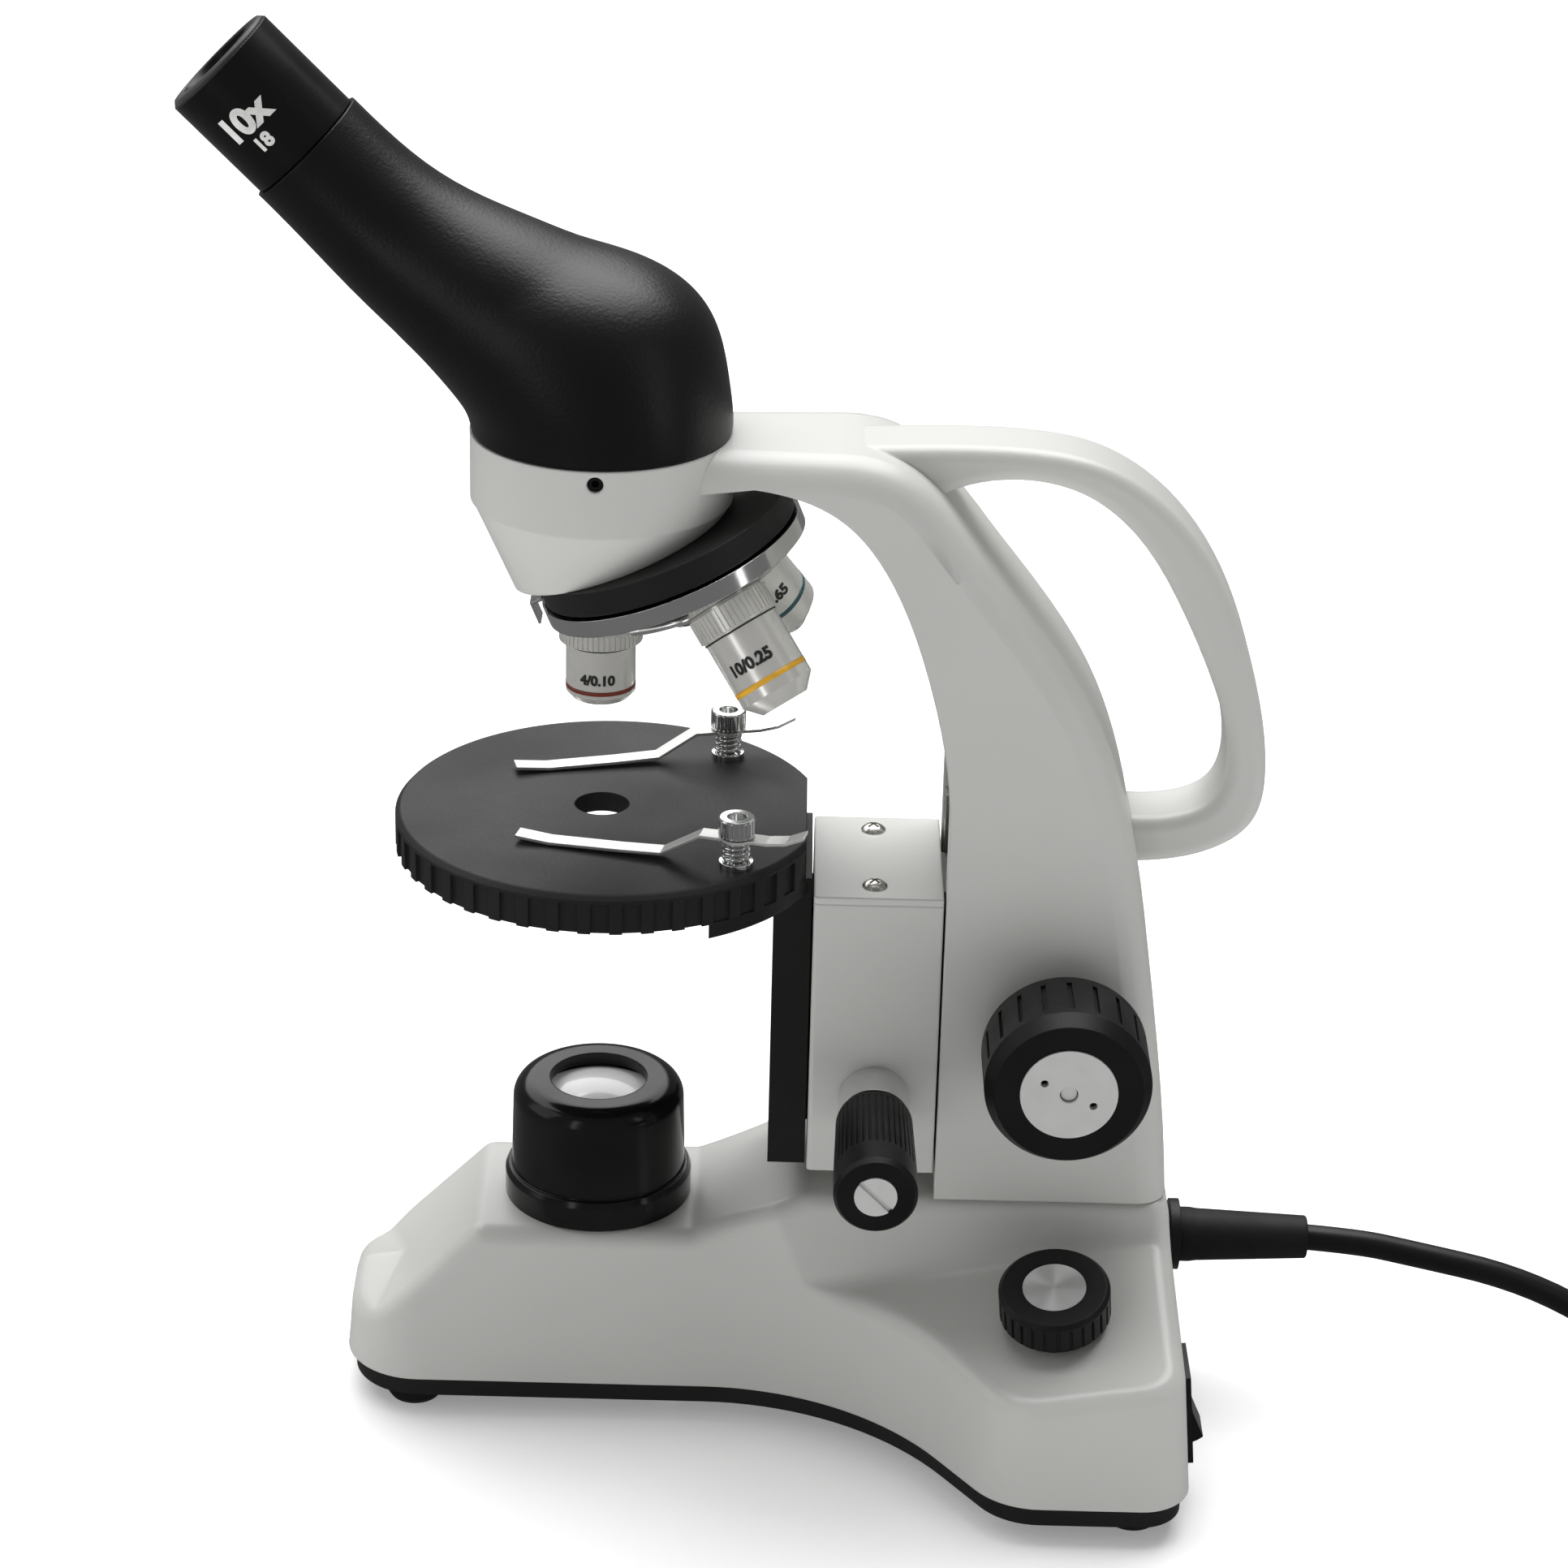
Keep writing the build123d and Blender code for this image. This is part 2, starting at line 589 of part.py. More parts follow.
def stage_bracket():
    """The mounting plate under the stage's back and the rail that carries it, with its tongue."""
    top = STAGE_Z - STAGE_THICK
    plate = rod(STAGE_R - 0.6, (STAGE_X, 0, top - 4), (STAGE_X, 0, top))
    plate &= box((29.2, RAIL_X[1] - 0.2), (-60, 60), (top - 4, top))
    plate -= box((53.2, 60), (-60, -RAIL_HALF), (top - 5, top + 1))
    plate -= box((53.2, 60), (RAIL_HALF, 60), (top - 5, top + 1))
    rail = box(RAIL_X, (-RAIL_HALF, RAIL_HALF), (RAIL_BOTTOM_Z, top))
    tongue = box((RAIL_X[1] - 0.5, 66), (-10, 10), (82, 144))
    for x, y in (CLIP_NEAR, CLIP_FAR):
        plate -= rod(2.6, (x, y, top - 5), (x, y, top + 1))
    return plate + rail + tongue


def clip_plane(pivot, side):
    """Local frame of a clip: x towards its tip, z up, origin at the pivot on the stage."""
    swing = math.radians(180 + side * CLIP_SWING)
    return Plane(origin=(*pivot, STAGE_Z), x_dir=(math.cos(swing), math.sin(swing), 0), z_dir=(0, 0, 1))


def clip_strip(pivot, side):
    """A sprung steel strip, cranked down to the stage and turned up at its tail."""
    lower = [(-17.5, 10.0), (-13, 8.0), (-8, 7.3), (9, 7.3), (19, 1.3), (30, 0.8), (48, 0.4), (56.5, 1.2)]
    upper = [(x, z + CLIP_THICK) for x, z in reversed(lower)]
    face = make_face(Polyline(*xz(*lower, *upper), close=True).edges())
    strip = extrude(Pos(0, -CLIP_HALF, 0) * face, 2 * CLIP_HALF, dir=(0, 1, 0))
    strip += Pos(0, 0, 7.3 + CLIP_THICK / 2) * Cylinder(4.2, CLIP_THICK)
    strip -= Pos(0, 0, 7) * Cylinder(2.1, 8)
    return clip_plane(pivot, side) * strip


def clip_near():
    return clip_strip(CLIP_NEAR, -1)


def clip_far():
    return clip_strip(CLIP_FAR, 1)


def clip_screws():
    """Shouldered screws with knurled socket heads, each on a black boss."""
    screws = []
    for x, y in (CLIP_NEAR, CLIP_FAR):
        profile = [(0, -13), (1.7, -13), (1.7, 0), (4.3, 0), (4.3, 1.6), (2.0, 1.8), (2.0, 8.5), (4.6, 8.6), (4.6, 13)]
        profile += [(4.2, 13.4), (2.4, 13.4), (2.4, 11), (0, 11)]
        plane = upright(x, y, STAGE_Z)
        screws.append(knurled(turned(profile, plane), 4.6, 24, 0.4, 0.25, plane, 8.9, 12.8))
    return group(*screws)


def clip_springs():
    """The coil under each clip, as the sleeve that its turns fill."""
    low, high = STAGE_Z + 1.9, STAGE_Z + 7.2
    return group(*[ring(3.8, 2.5, (x, y, low), (x, y, high)) for x, y in (CLIP_NEAR, CLIP_FAR)])


# ---- focusing block -----------------------------------------------------------------------------------
def block_housing():
    z_lid = BLOCK_Z[1] - LID_THICK
    shell = box(BLOCK_X, (-BLOCK_HALF, BLOCK_HALF), (BLOCK_Z[0], z_lid))
    shell = fillet([e for e in shell.edges().filter_by(Axis.Z) if e.center().X < 60], 1.2)
    wall = 3.0
    inside_x = (BLOCK_X[0] + wall, BLOCK_X[1] - wall)
    shell -= box(inside_x, (-BLOCK_HALF + wall, BLOCK_HALF - wall), (BLOCK_Z[0] + wall, z_lid + 1))
    shell -= box((BLOCK_X[0] - 1, BLOCK_X[0] + wall + 1), (-10.5, 10.5), (BLOCK_Z[0] + wall, z_lid + 1))
    for y in (-LID_SCREW_Y, LID_SCREW_Y):
        post = rod(3.2, (LID_SCREW_X, y, z_lid - 14), (LID_SCREW_X, y, z_lid))
        web = (LID_SCREW_X - 2, LID_SCREW_X + 2)
        shell += post + box(web, sorted((y, math.copysign(23, y))), (z_lid - 14, z_lid))
        shell -= rod(1.3, (LID_SCREW_X, y, z_lid - 10), (LID_SCREW_X, y, z_lid + 1))
    return shell - rod(4 + SHAFT_GAP, (FINE_X, -30, FINE_Z), (FINE_X, 30, FINE_Z))


def block_lid():
    lid = box(BLOCK_X, (-BLOCK_HALF, BLOCK_HALF), (BLOCK_Z[1] - LID_THICK, BLOCK_Z[1]))
    lid = fillet([e for e in lid.edges().filter_by(Axis.Z) if e.center().X < 60], 1.2)
    for y in (-LID_SCREW_Y, LID_SCREW_Y):
        lid -= rod(1.7, (LID_SCREW_X, y, BLOCK_Z[1] - 5), (LID_SCREW_X, y, BLOCK_Z[1] + 1))
    return lid


def lid_screws():
    screws = []
    for y in (-LID_SCREW_Y, LID_SCREW_Y):
        top = BLOCK_Z[1]
        dome = Pos(LID_SCREW_X, y, top - 2.6) * Sphere(4.3)
        dome &= rod(3.2, (LID_SCREW_X, y, top), (LID_SCREW_X, y, top + 4))
        screw = dome + rod(1.25, (LID_SCREW_X, y, top - 9), (LID_SCREW_X, y, top + 0.2))
        for angle in (45, 135):
            screw -= Pos(LID_SCREW_X, y, top + 1.5) * Rot(0, 0, angle) * Box(3.6, 0.7, 1.6)
        screws.append(screw)
    return group(*screws)


def focus_rack():
    """The slide behind the block, with the rack that the coarse pinion drives."""
    pitch = math.pi * GEAR_MODULE
    line = COARSE_X - PINION_R
    plate = box((BLOCK_X[1], 94), (-12, 12), (82, 150))
    bar = box((93.5, line - 1.25 * GEAR_MODULE), (-5, 5), (RACK_Z[0], RACK_Z[1]))
    half = (pitch / 2 - BACKLASH) / 2
    lean = math.tan(math.radians(PRESSURE))
    root, tip = line - 1.25 * GEAR_MODULE, line + GEAR_MODULE
    first = math.ceil((RACK_Z[0] + pitch - COARSE_Z) / pitch)
    last = math.floor((RACK_Z[1] - pitch - COARSE_Z) / pitch)
    teeth = []
    for i in range(first, last):
        z = COARSE_Z + (i + 0.5) * pitch
        wide = half + (line - root) * lean
        slim = half - (tip - line) * lean
        outline = xz((root - 0.3, z - wide), (root, z - wide), (tip, z - slim))
        outline += xz((tip, z + slim), (root, z + wide), (root - 0.3, z + wide))
        tooth = make_face(Polyline(*outline, close=True).edges())
        teeth.append(extrude(Pos(0, -5, 0) * tooth, 10, dir=(0, 1, 0)))
    return plate + bar + teeth


def slide_guides():
    """The two guide bars screwed inside the arm, either side of the slide."""
    bar = box((89.0, 98.0), (12.3, 18.0), (77, 166))
    return both_sides(bar)


# ---- coarse drive -------------------------------------------------------------------------------------
def involute(radius, base):
    """Involute roll angle at a radius, less its pressure angle: the curve's own turn."""
    pressure = math.acos(base / radius)
    return math.tan(pressure) - pressure


def pinion_face():
    """An involute pinion in the XZ plane, one tooth towards the rack."""
    base = PINION_R * math.cos(math.radians(PRESSURE))
    tip = PINION_R + GEAR_MODULE
    root = PINION_R - 1.25 * GEAR_MODULE
    half = (math.pi * GEAR_MODULE / 2 - BACKLASH) / (2 * PINION_R)
    at_pitch = involute(PINION_R, base)
    radii = [base + (tip - base) * i / 4 for i in range(5)]
    flank = [(root, half + at_pitch)] + [(r, half + at_pitch - involute(r, base)) for r in radii]
    points = []
    for tooth in range(PINION_TEETH):
        centre = math.pi + 2 * math.pi * tooth / PINION_TEETH
        angles = [(r, centre - a) for r, a in flank] + [(r, centre + a) for r, a in reversed(flank)]
        points += [(COARSE_X + r * math.cos(a), 0, COARSE_Z + r * math.sin(a)) for r, a in angles]
    return make_face(Polyline(*points, close=True).edges())


def coarse_shaft():
    shaft = rod(4.0, (COARSE_X, -COARSE_END_Y + 3, COARSE_Z), (COARSE_X, COARSE_END_Y - 3, COARSE_Z))
    return shaft + extrude(Pos(0, -6, 0) * pinion_face(), 12, dir=(0, 1, 0))


def shaft_bushes():
    """Brass bushes in the arm's cheeks."""
    bush = ring(5.95, 4 + SHAFT_GAP, (COARSE_X, 18.2, COARSE_Z), (COARSE_X, 25.0, COARSE_Z))
    bush += ring(8.0, 4 + SHAFT_GAP, (COARSE_X, 25.0, COARSE_Z), (COARSE_X, 25.8, COARSE_Z))
    return both_sides(bush)


def far_axis(x, z):
    """A plane whose z points along +Y from the middle plane, for turned knobs."""
    return Plane(origin=(x, 0, z), x_dir=(1, 0, 0), z_dir=(0, 1, 0))


def coarse_knobs():
    """Grooved hand wheels on both ends of the shaft, each on a collar."""
    end = COARSE_END_Y
    profile = [(4.02, 26.2), (9.5, 26.2), (9.5, 33.6), (19.6, 33.6), (COARSE_KNOB_R, 35), (COARSE_KNOB_R, end - 4)]
    profile += [(18.6, end), (12.3, end), (12.3, end - 1.6), (4.02, end - 1.6)]
    plane = far_axis(COARSE_X, COARSE_Z)
    knob = turned(profile, plane)
    knob = knurled(knob, COARSE_KNOB_R, 20, 1.3, 0.8, plane, 38, end - 6)
    return both_sides(knob)


def coarse_discs():
    """Bright discs let into the ends of the coarse knobs, with a centre pin hole and two spanner holes."""
    end = COARSE_END_Y
    disc = ring(12.2, 2.3, (COARSE_X, end - 1.5, COARSE_Z), (COARSE_X, end + 0.3, COARSE_Z))
    for side in (-1, 1):
        at = (COARSE_X + side * 6.2, COARSE_Z - side * 3.0)
        disc -= rod(1.0, (at[0], end - 2, at[1]), (at[0], end + 1, at[1]))
    disc += rod(2.0, (COARSE_X, end - 1.5, COARSE_Z), (COARSE_X, end - 0.6, COARSE_Z))
    return both_sides(disc)


# ---- fine drive ---------------------------------------------------------------------------------------
def fine_shaft():
    """The fine focusing spindle, with the cam collar that lifts the stage's tongue."""
    spindle = rod(4.0, (FINE_X, -FINE_END_Y + 3, FINE_Z), (FINE_X, FINE_END_Y - 3, FINE_Z))
    return spindle + rod(5.5, (FINE_X, -8, FINE_Z), (FINE_X, 8, FINE_Z))


def fine_sleeves():
    sleeve = ring(9.3, 4 + SHAFT_GAP, (FINE_X, BLOCK_HALF, FINE_Z), (FINE_X, 36.8, FINE_Z))
    return both_sides(sleeve)


def fine_knobs():
    end = FINE_END_Y
    profile = [(4.02, 37.4), (8.6, 37.4), (9.8, 38.6), (10.5, end - 9), (10.5, end - 1.4), (9.6, end), (5.5, end)]
    profile += [(5.5, end - 1.4), (4.02, end - 1.4)]
    plane = far_axis(FINE_X, FINE_Z)
    knob = knurled(turned(profile, plane), 10.2, 40, 0.6, 0.5, plane, 40, end - 10)
    return both_sides(knob)


def fine_caps():
    """Slotted screws in the ends of the fine knobs."""
    end = FINE_END_Y
    cap = rod(5.35, (FINE_X, end - 1.3, FINE_Z), (FINE_X, end + 0.2, FINE_Z))
    cap -= Pos(FINE_X, end, FINE_Z) * Rot(0, 45, 0) * Box(12, 1.2, 1.3)
    return both_sides(cap)


# ---- lamp ---------------------------------------------------------------------------------------------
def lamp_housing():
    low, top = PLATEAU_Z, LAMP_TOP_Z
    step = low + 8.0
    profile = [(19.5, low), (LAMP_FLANGE_R, low), (LAMP_FLANGE_R, step - 1.6), (LAMP_FLANGE_R - 0.8, step)]
    profile += [(LAMP_R + 0.2, step), (LAMP_R - 0.4, top), (LAMP_HOLE_R, top), (LAMP_HOLE_R, top - 3)]
    profile += [(19.5, top - 3)]
    shell = turned(profile, upright(0, 0, 0))
    rim = [e for e in shell.edges().filter_by(GeomType.CIRCLE) if e.center().Z > top - 0.1]
    outer = max(rim, key=lambda e: e.radius)
    return fillet(outer, 5.5)


def lamp_lens():
    return lens_disc(17.0, 2.2, 5.0, upright(0, 0, LAMP_TOP_Z - 8.6))


def lamp_holder():
    """The ceramic lamp socket on its plate, between the casting and the housing."""
    plate = rod(18.8, (0, 0, PLATEAU_Z), (0, 0, PLATEAU_Z + 2))
    plate += rod(8, (0, 0, PLATEAU_Z - 8), (0, 0, PLATEAU_Z + 8))
    return plate - rod(3.05, (0, 0, PLATEAU_Z + 4), (0, 0, PLATEAU_Z + 9))


def lamp_bulb():
    glass = rod(4.6, (0, 0, PLATEAU_Z + 9), (0, 0, PLATEAU_Z + 16)) + Pos(0, 0, PLATEAU_Z + 16) * Sphere(4.6)
    return glass + rod(3.0, (0, 0, PLATEAU_Z + 4), (0, 0, PLATEAU_Z + 9))


# ---- electrics ----------------------------------------------------------------------------------------
def transformer():
    """A laminated core with its bobbin, on the floor of the base."""
    core = box((92, 132), (-2, 30), (13.5, 43))
    core -= box((100, 106), (-3, 31), (19, 37)) + box((118, 124), (-3, 31), (19, 37))
    coils = box((100.2, 123.8), (-7, 35), (19.2, 36.8)) - box((106, 118), (-8, 36), (18, 38))
    return core + coils


def circuit_board():
    board = box((40, 86), (-21, 21), (20, 21.6))
    for x, y, r, h in ((50, -10, 5, 16), (50, 8, 4, 12), (76, 12, 3, 9)):
        board += rod(r, (x, y, 21.6), (x, y, 21.6 + h))
    return board + box((62, 72), (-16, -2), (21.6, 30))


def brightness_control():
    """The rotary control under the ledge."""
    body = rod(9, dimmer_point(-15), dimmer_point(-6.5))
    return body + ring(3.5, 3.1, dimmer_point(-7), dimmer_point(0.8))


def dimmer_plane():
    return Plane(origin=DIMMER, x_dir=(DIMMER_AXIS.Z, 0, -DIMMER_AXIS.X), z_dir=DIMMER_AXIS)


def brightness_knob():
    """A ribbed knob with a recess for its bright insert, on its spindle."""
    profile = [(0, -6), (3.05, -6), (3.05, 1.6), (11.4, 1.6), (11.4, 3.2), (13.9, 3.2), (14.3, 3.8)]
    profile += [(14.3, 11.6), (13.3, 12.6), (8.2, 12.6), (8.2, 11.9), (0, 11.9)]
    plane = dimmer_plane()
    return knurled(turned(profile, plane), 14.3, 28, 1.0, 0.5, plane, 3, 11)


def brightness_cap():
    return rod(8.1, dimmer_point(11.95), dimmer_point(12.5))


def switch_plane():
    """On the drafted back wall: x up the wall, z out of it."""
    lean = math.radians(BASE_DRAFT)
    z = sum(SWITCH_Z) / 2
    x = BASE_REAR_X - (z - BASE_Z) * math.tan(lean)
    up, out = (-math.sin(lean), 0, math.cos(lean)), (math.cos(lean), 0, math.sin(lean))
    return Plane(origin=(x, sum(SWITCH_Y) / 2, z), x_dir=up, z_dir=out)


def switch_body():
    """The rocker's frame: a flange outside the wall and a box through it."""
    height, width = SWITCH_Z[1] - SWITCH_Z[0], SWITCH_Y[1] - SWITCH_Y[0]
    frame = Pos(0, 0, 0.9) * Box(height + 3, width + 3, 1.8)
    frame += Pos(0, 0, -6.5) * Box(height - 1, width - 1, 13)
    frame -= Pos(0, 0, -1.0) * Box(height - 3.4, width - 3.4, 9)
    frame -= rocker_pin(ROCKER_PIN_R + SHAFT_GAP)
    return switch_plane() * frame


def rocker_pin(radius):
    """The rocker's pivot, in the switch's own plane."""
    return Pos(0, 0, ROCKER_PIVOT) * Rot(90, 0, 0) * Cylinder(radius, SWITCH_Y[1] - SWITCH_Y[0] - 1.8)


def power_rocker():
    """The rocker, its top pressed in and its foot standing out; its ends are arcs about the pivot."""
    width = SWITCH_Y[1] - SWITCH_Y[0] - 4.2
    points = [(0, -2.2), (3.5, -2.2)]
    points += [rocker_end(angle) for angle in (-4, 5, 14)]
    points += [(5.0, 2.6), (0, 3.3)]
    points += [rocker_end(angle) for angle in (142, 152, 161, 170, 180)]
    points += [(-3.5, -2.2)]
    outline = [(x, -width / 2, ROCKER_PIVOT + z) for x, z in points]
    rocker = extrude(make_face(Polyline(*outline, close=True).edges()), width, dir=(0, 1, 0))
    return switch_plane() * (rocker + rocker_pin(ROCKER_PIN_R))


def rocker_end(angle):
    """A point of the rocker's end, from the pivot."""
    turn = math.radians(angle)
    return (ROCKER_REACH * math.cos(turn), ROCKER_REACH * math.sin(turn))


def cord_gland():
    """The collar that seats the lead's strain relief in the back wall."""
    gland = rod(9.5, (GLAND_X, 0, CORD_Z), (GLAND_X + 2.6, 0, CORD_Z))
    gland += rod(6.1, (146, 0, CORD_Z), (GLAND_X, 0, CORD_Z))
    return gland - rod(3.6, (140, 0, CORD_Z), (160, 0, CORD_Z))


def strain_relief():
    """A tapered sleeve that stiffens the first stretch of the lead."""
    plane = Plane(origin=(GLAND_X + 2.6, 0, CORD_Z), z_dir=(1, 0, 0))
    length = CORD_END_X - GLAND_X - 2.6
    profile = [(0, 0), (7.3, 0), (7.3, 3), (7.0, 5), (5.75, length - 0.4), (5.4, length), (0, length)]
    return turned(profile, plane)


# ---- mains lead ---------------------------------------------------------------------------------------
def lead_path(route):
    """Straight runs joined by the largest arcs that each pair of runs allows."""
    points = [Vector(*p) for p in route]
    radii = []
    for a, b, c in zip(points, points[1:], points[2:]):
        turn = math.radians((b - a).get_angle(c - b))
        radii.append(0.45 * min((b - a).length, (c - b).length) / math.tan(turn / 2))
    print("lead bend radii", [round(r) for r in radii])
    return FilletPolyline(*route, radius=radii)


def lead_tube(route):
    path = lead_path(route)
    start = Plane(origin=path @ 0, z_dir=path % 0)
    tube = sweep(start * Circle(CORD_D / 2), path=path)
    print("lead volume / section x length", round(tube.volume / (math.pi * CORD_D**2 / 4 * path.length), 4))
    print("lead length", round(path.length, 1))
    return tube


def mains_lead():
    return lead_tube(LEAD_ROUTE)


def mains_lead_tail():
    return lead_tube(TAIL_ROUTE)


def mains_lead_coil():
    """The wound part of the lead: six turns, two abreast and three high."""
    x, y = COIL_CENTRE
    height = CORD_D + 2 * COIL_LIFT + 0.2
    return ring(COIL_R[1] + CORD_D / 2, COIL_R[0] - CORD_D / 2, (x, y, 0), (x, y, height))


def plug_plane():
    """At the plug's back, z along the way the lead leads into it."""
    a, b = Vector(*TAIL_ROUTE[-2]), Vector(*TAIL_ROUTE[-1])
    along = Vector(b.X - a.X, b.Y - a.Y, 0).normalized()
    return Plane(origin=b, x_dir=(-along.Y, along.X, 0), z_dir=along)


def mains_plug():
    """A moulded two-pin plug with a ribbed grip."""
    neck = Pos(0, 0, 5) * Cylinder(5.0, 10)
    shoulder = loft([Pos(0, 0, 9) * RectangleRounded(11, 10, 4), Pos(0, 0, 16) * RectangleRounded(26, 13.6, 6)])
    body = extrude(Pos(0, 0, 16) * RectangleRounded(26, 13.6, 6), 20)
    return plug_plane() * (neck + shoulder + body)


def plug_pins():
    pins = [Pos(side * 9.3, 0, 45.5) * Cylinder(2.0, 19) for side in (-1, 1)]
    return plug_plane() * group(*pins)


# ---- the model ----------------------------------------------------------------------------------------
def eye_and_field_lens():
    eye = lens_disc(8.8, 1.6, 1.6, along_tube(EYEPIECE_LEN - 9.6))
    field = lens_disc(9.4, 1.6, 1.8, along_tube(-27))
    return group(eye, field)


def head_set_screw():
    screw = rod(1.95, (0, -31.6, 265.2), (0, -24.0, 265.2))
    return screw - rod(0.9, (0, -32, 265.2), (0, -29.5, 265.2))


def arm_fixing_screws():
    screws = []
    for x, y in ARM_SCREWS:
        head = PLINTH_Z - 6 - 3.4
        shank = rod(2.0, (x, y, head + 3), (x, y, PLINTH_Z + 5.8))
        screws.append(rod(4.0, (x, y, head), (x, y, head + 3.3)) + shank)
    return group(*screws)


PARTS = [
    base_casting, base_plate, rubber_feet, plate_screws, arm_casting, arm_fixing_screws, head_set_screw,
    nosepiece_base, nosepiece_pivot, detent_spring, slide_guides, shaft_bushes,
    lamp_housing, lamp_lens, lamp_holder, lamp_bulb, transformer, circuit_board, brightness_control,
    switch_body, cord_gland, strain_relief, mains_lead, mains_lead_coil, mains_lead_tail, mains_plug, plug_pins,
    head_shell, head_dovetail, head_prism, eyepiece_tube, eyepiece_body, eye_and_field_lens,
    nosepiece_plate, objective_4x, objective_10x, objective_40x, objective_40x_nose, objective_lenses, lens_40x,
    stage_disc, stage_bracket, clip_screws, clip_springs, clip_near, clip_far,
    block_housing, block_lid, lid_screws, focus_rack, fine_sleeves,
    coarse_shaft, coarse_knobs, coarse_discs, fine_shaft, fine_knobs, fine_caps,
    brightness_knob, brightness_cap, power_rocker,
]


def main():
    os.makedirs("parts", exist_ok=True)
    for make in PARTS:
        shape = Pos(-CENTRE_X, 0, 0) * make()
        export_step(shape, f"parts/{make.__name__}.step")


if __name__ == "__main__":
    main()
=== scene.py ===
import math

import bmesh
import bpy
from mathutils import Matrix, Vector


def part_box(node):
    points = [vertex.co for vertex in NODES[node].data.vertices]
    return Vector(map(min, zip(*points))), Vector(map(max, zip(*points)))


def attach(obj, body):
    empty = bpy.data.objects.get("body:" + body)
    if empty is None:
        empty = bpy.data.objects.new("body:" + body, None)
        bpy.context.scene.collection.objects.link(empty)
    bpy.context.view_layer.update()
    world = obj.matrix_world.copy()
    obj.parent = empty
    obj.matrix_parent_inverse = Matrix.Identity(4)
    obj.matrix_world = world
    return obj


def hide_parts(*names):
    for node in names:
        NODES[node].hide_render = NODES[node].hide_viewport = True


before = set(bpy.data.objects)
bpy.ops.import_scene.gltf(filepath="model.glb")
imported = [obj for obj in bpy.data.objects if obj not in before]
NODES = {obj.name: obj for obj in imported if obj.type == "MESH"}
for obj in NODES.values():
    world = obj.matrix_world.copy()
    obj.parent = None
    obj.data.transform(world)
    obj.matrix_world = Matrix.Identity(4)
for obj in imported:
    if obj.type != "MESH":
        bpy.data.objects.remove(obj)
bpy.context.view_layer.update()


def middle(node):
    low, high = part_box(node)
    return (low + high) / 2


AXIS_X = middle("lamp_lens").x  # the optical axis, in the row frame
STAGE_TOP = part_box("stage_disc")[1].z
MM = 0.001


def at(x, y, z):
    """A point given in millimetres from the optical axis, the middle plane and the floor."""
    return Vector((AXIS_X + x * MM, y * MM, z * MM))


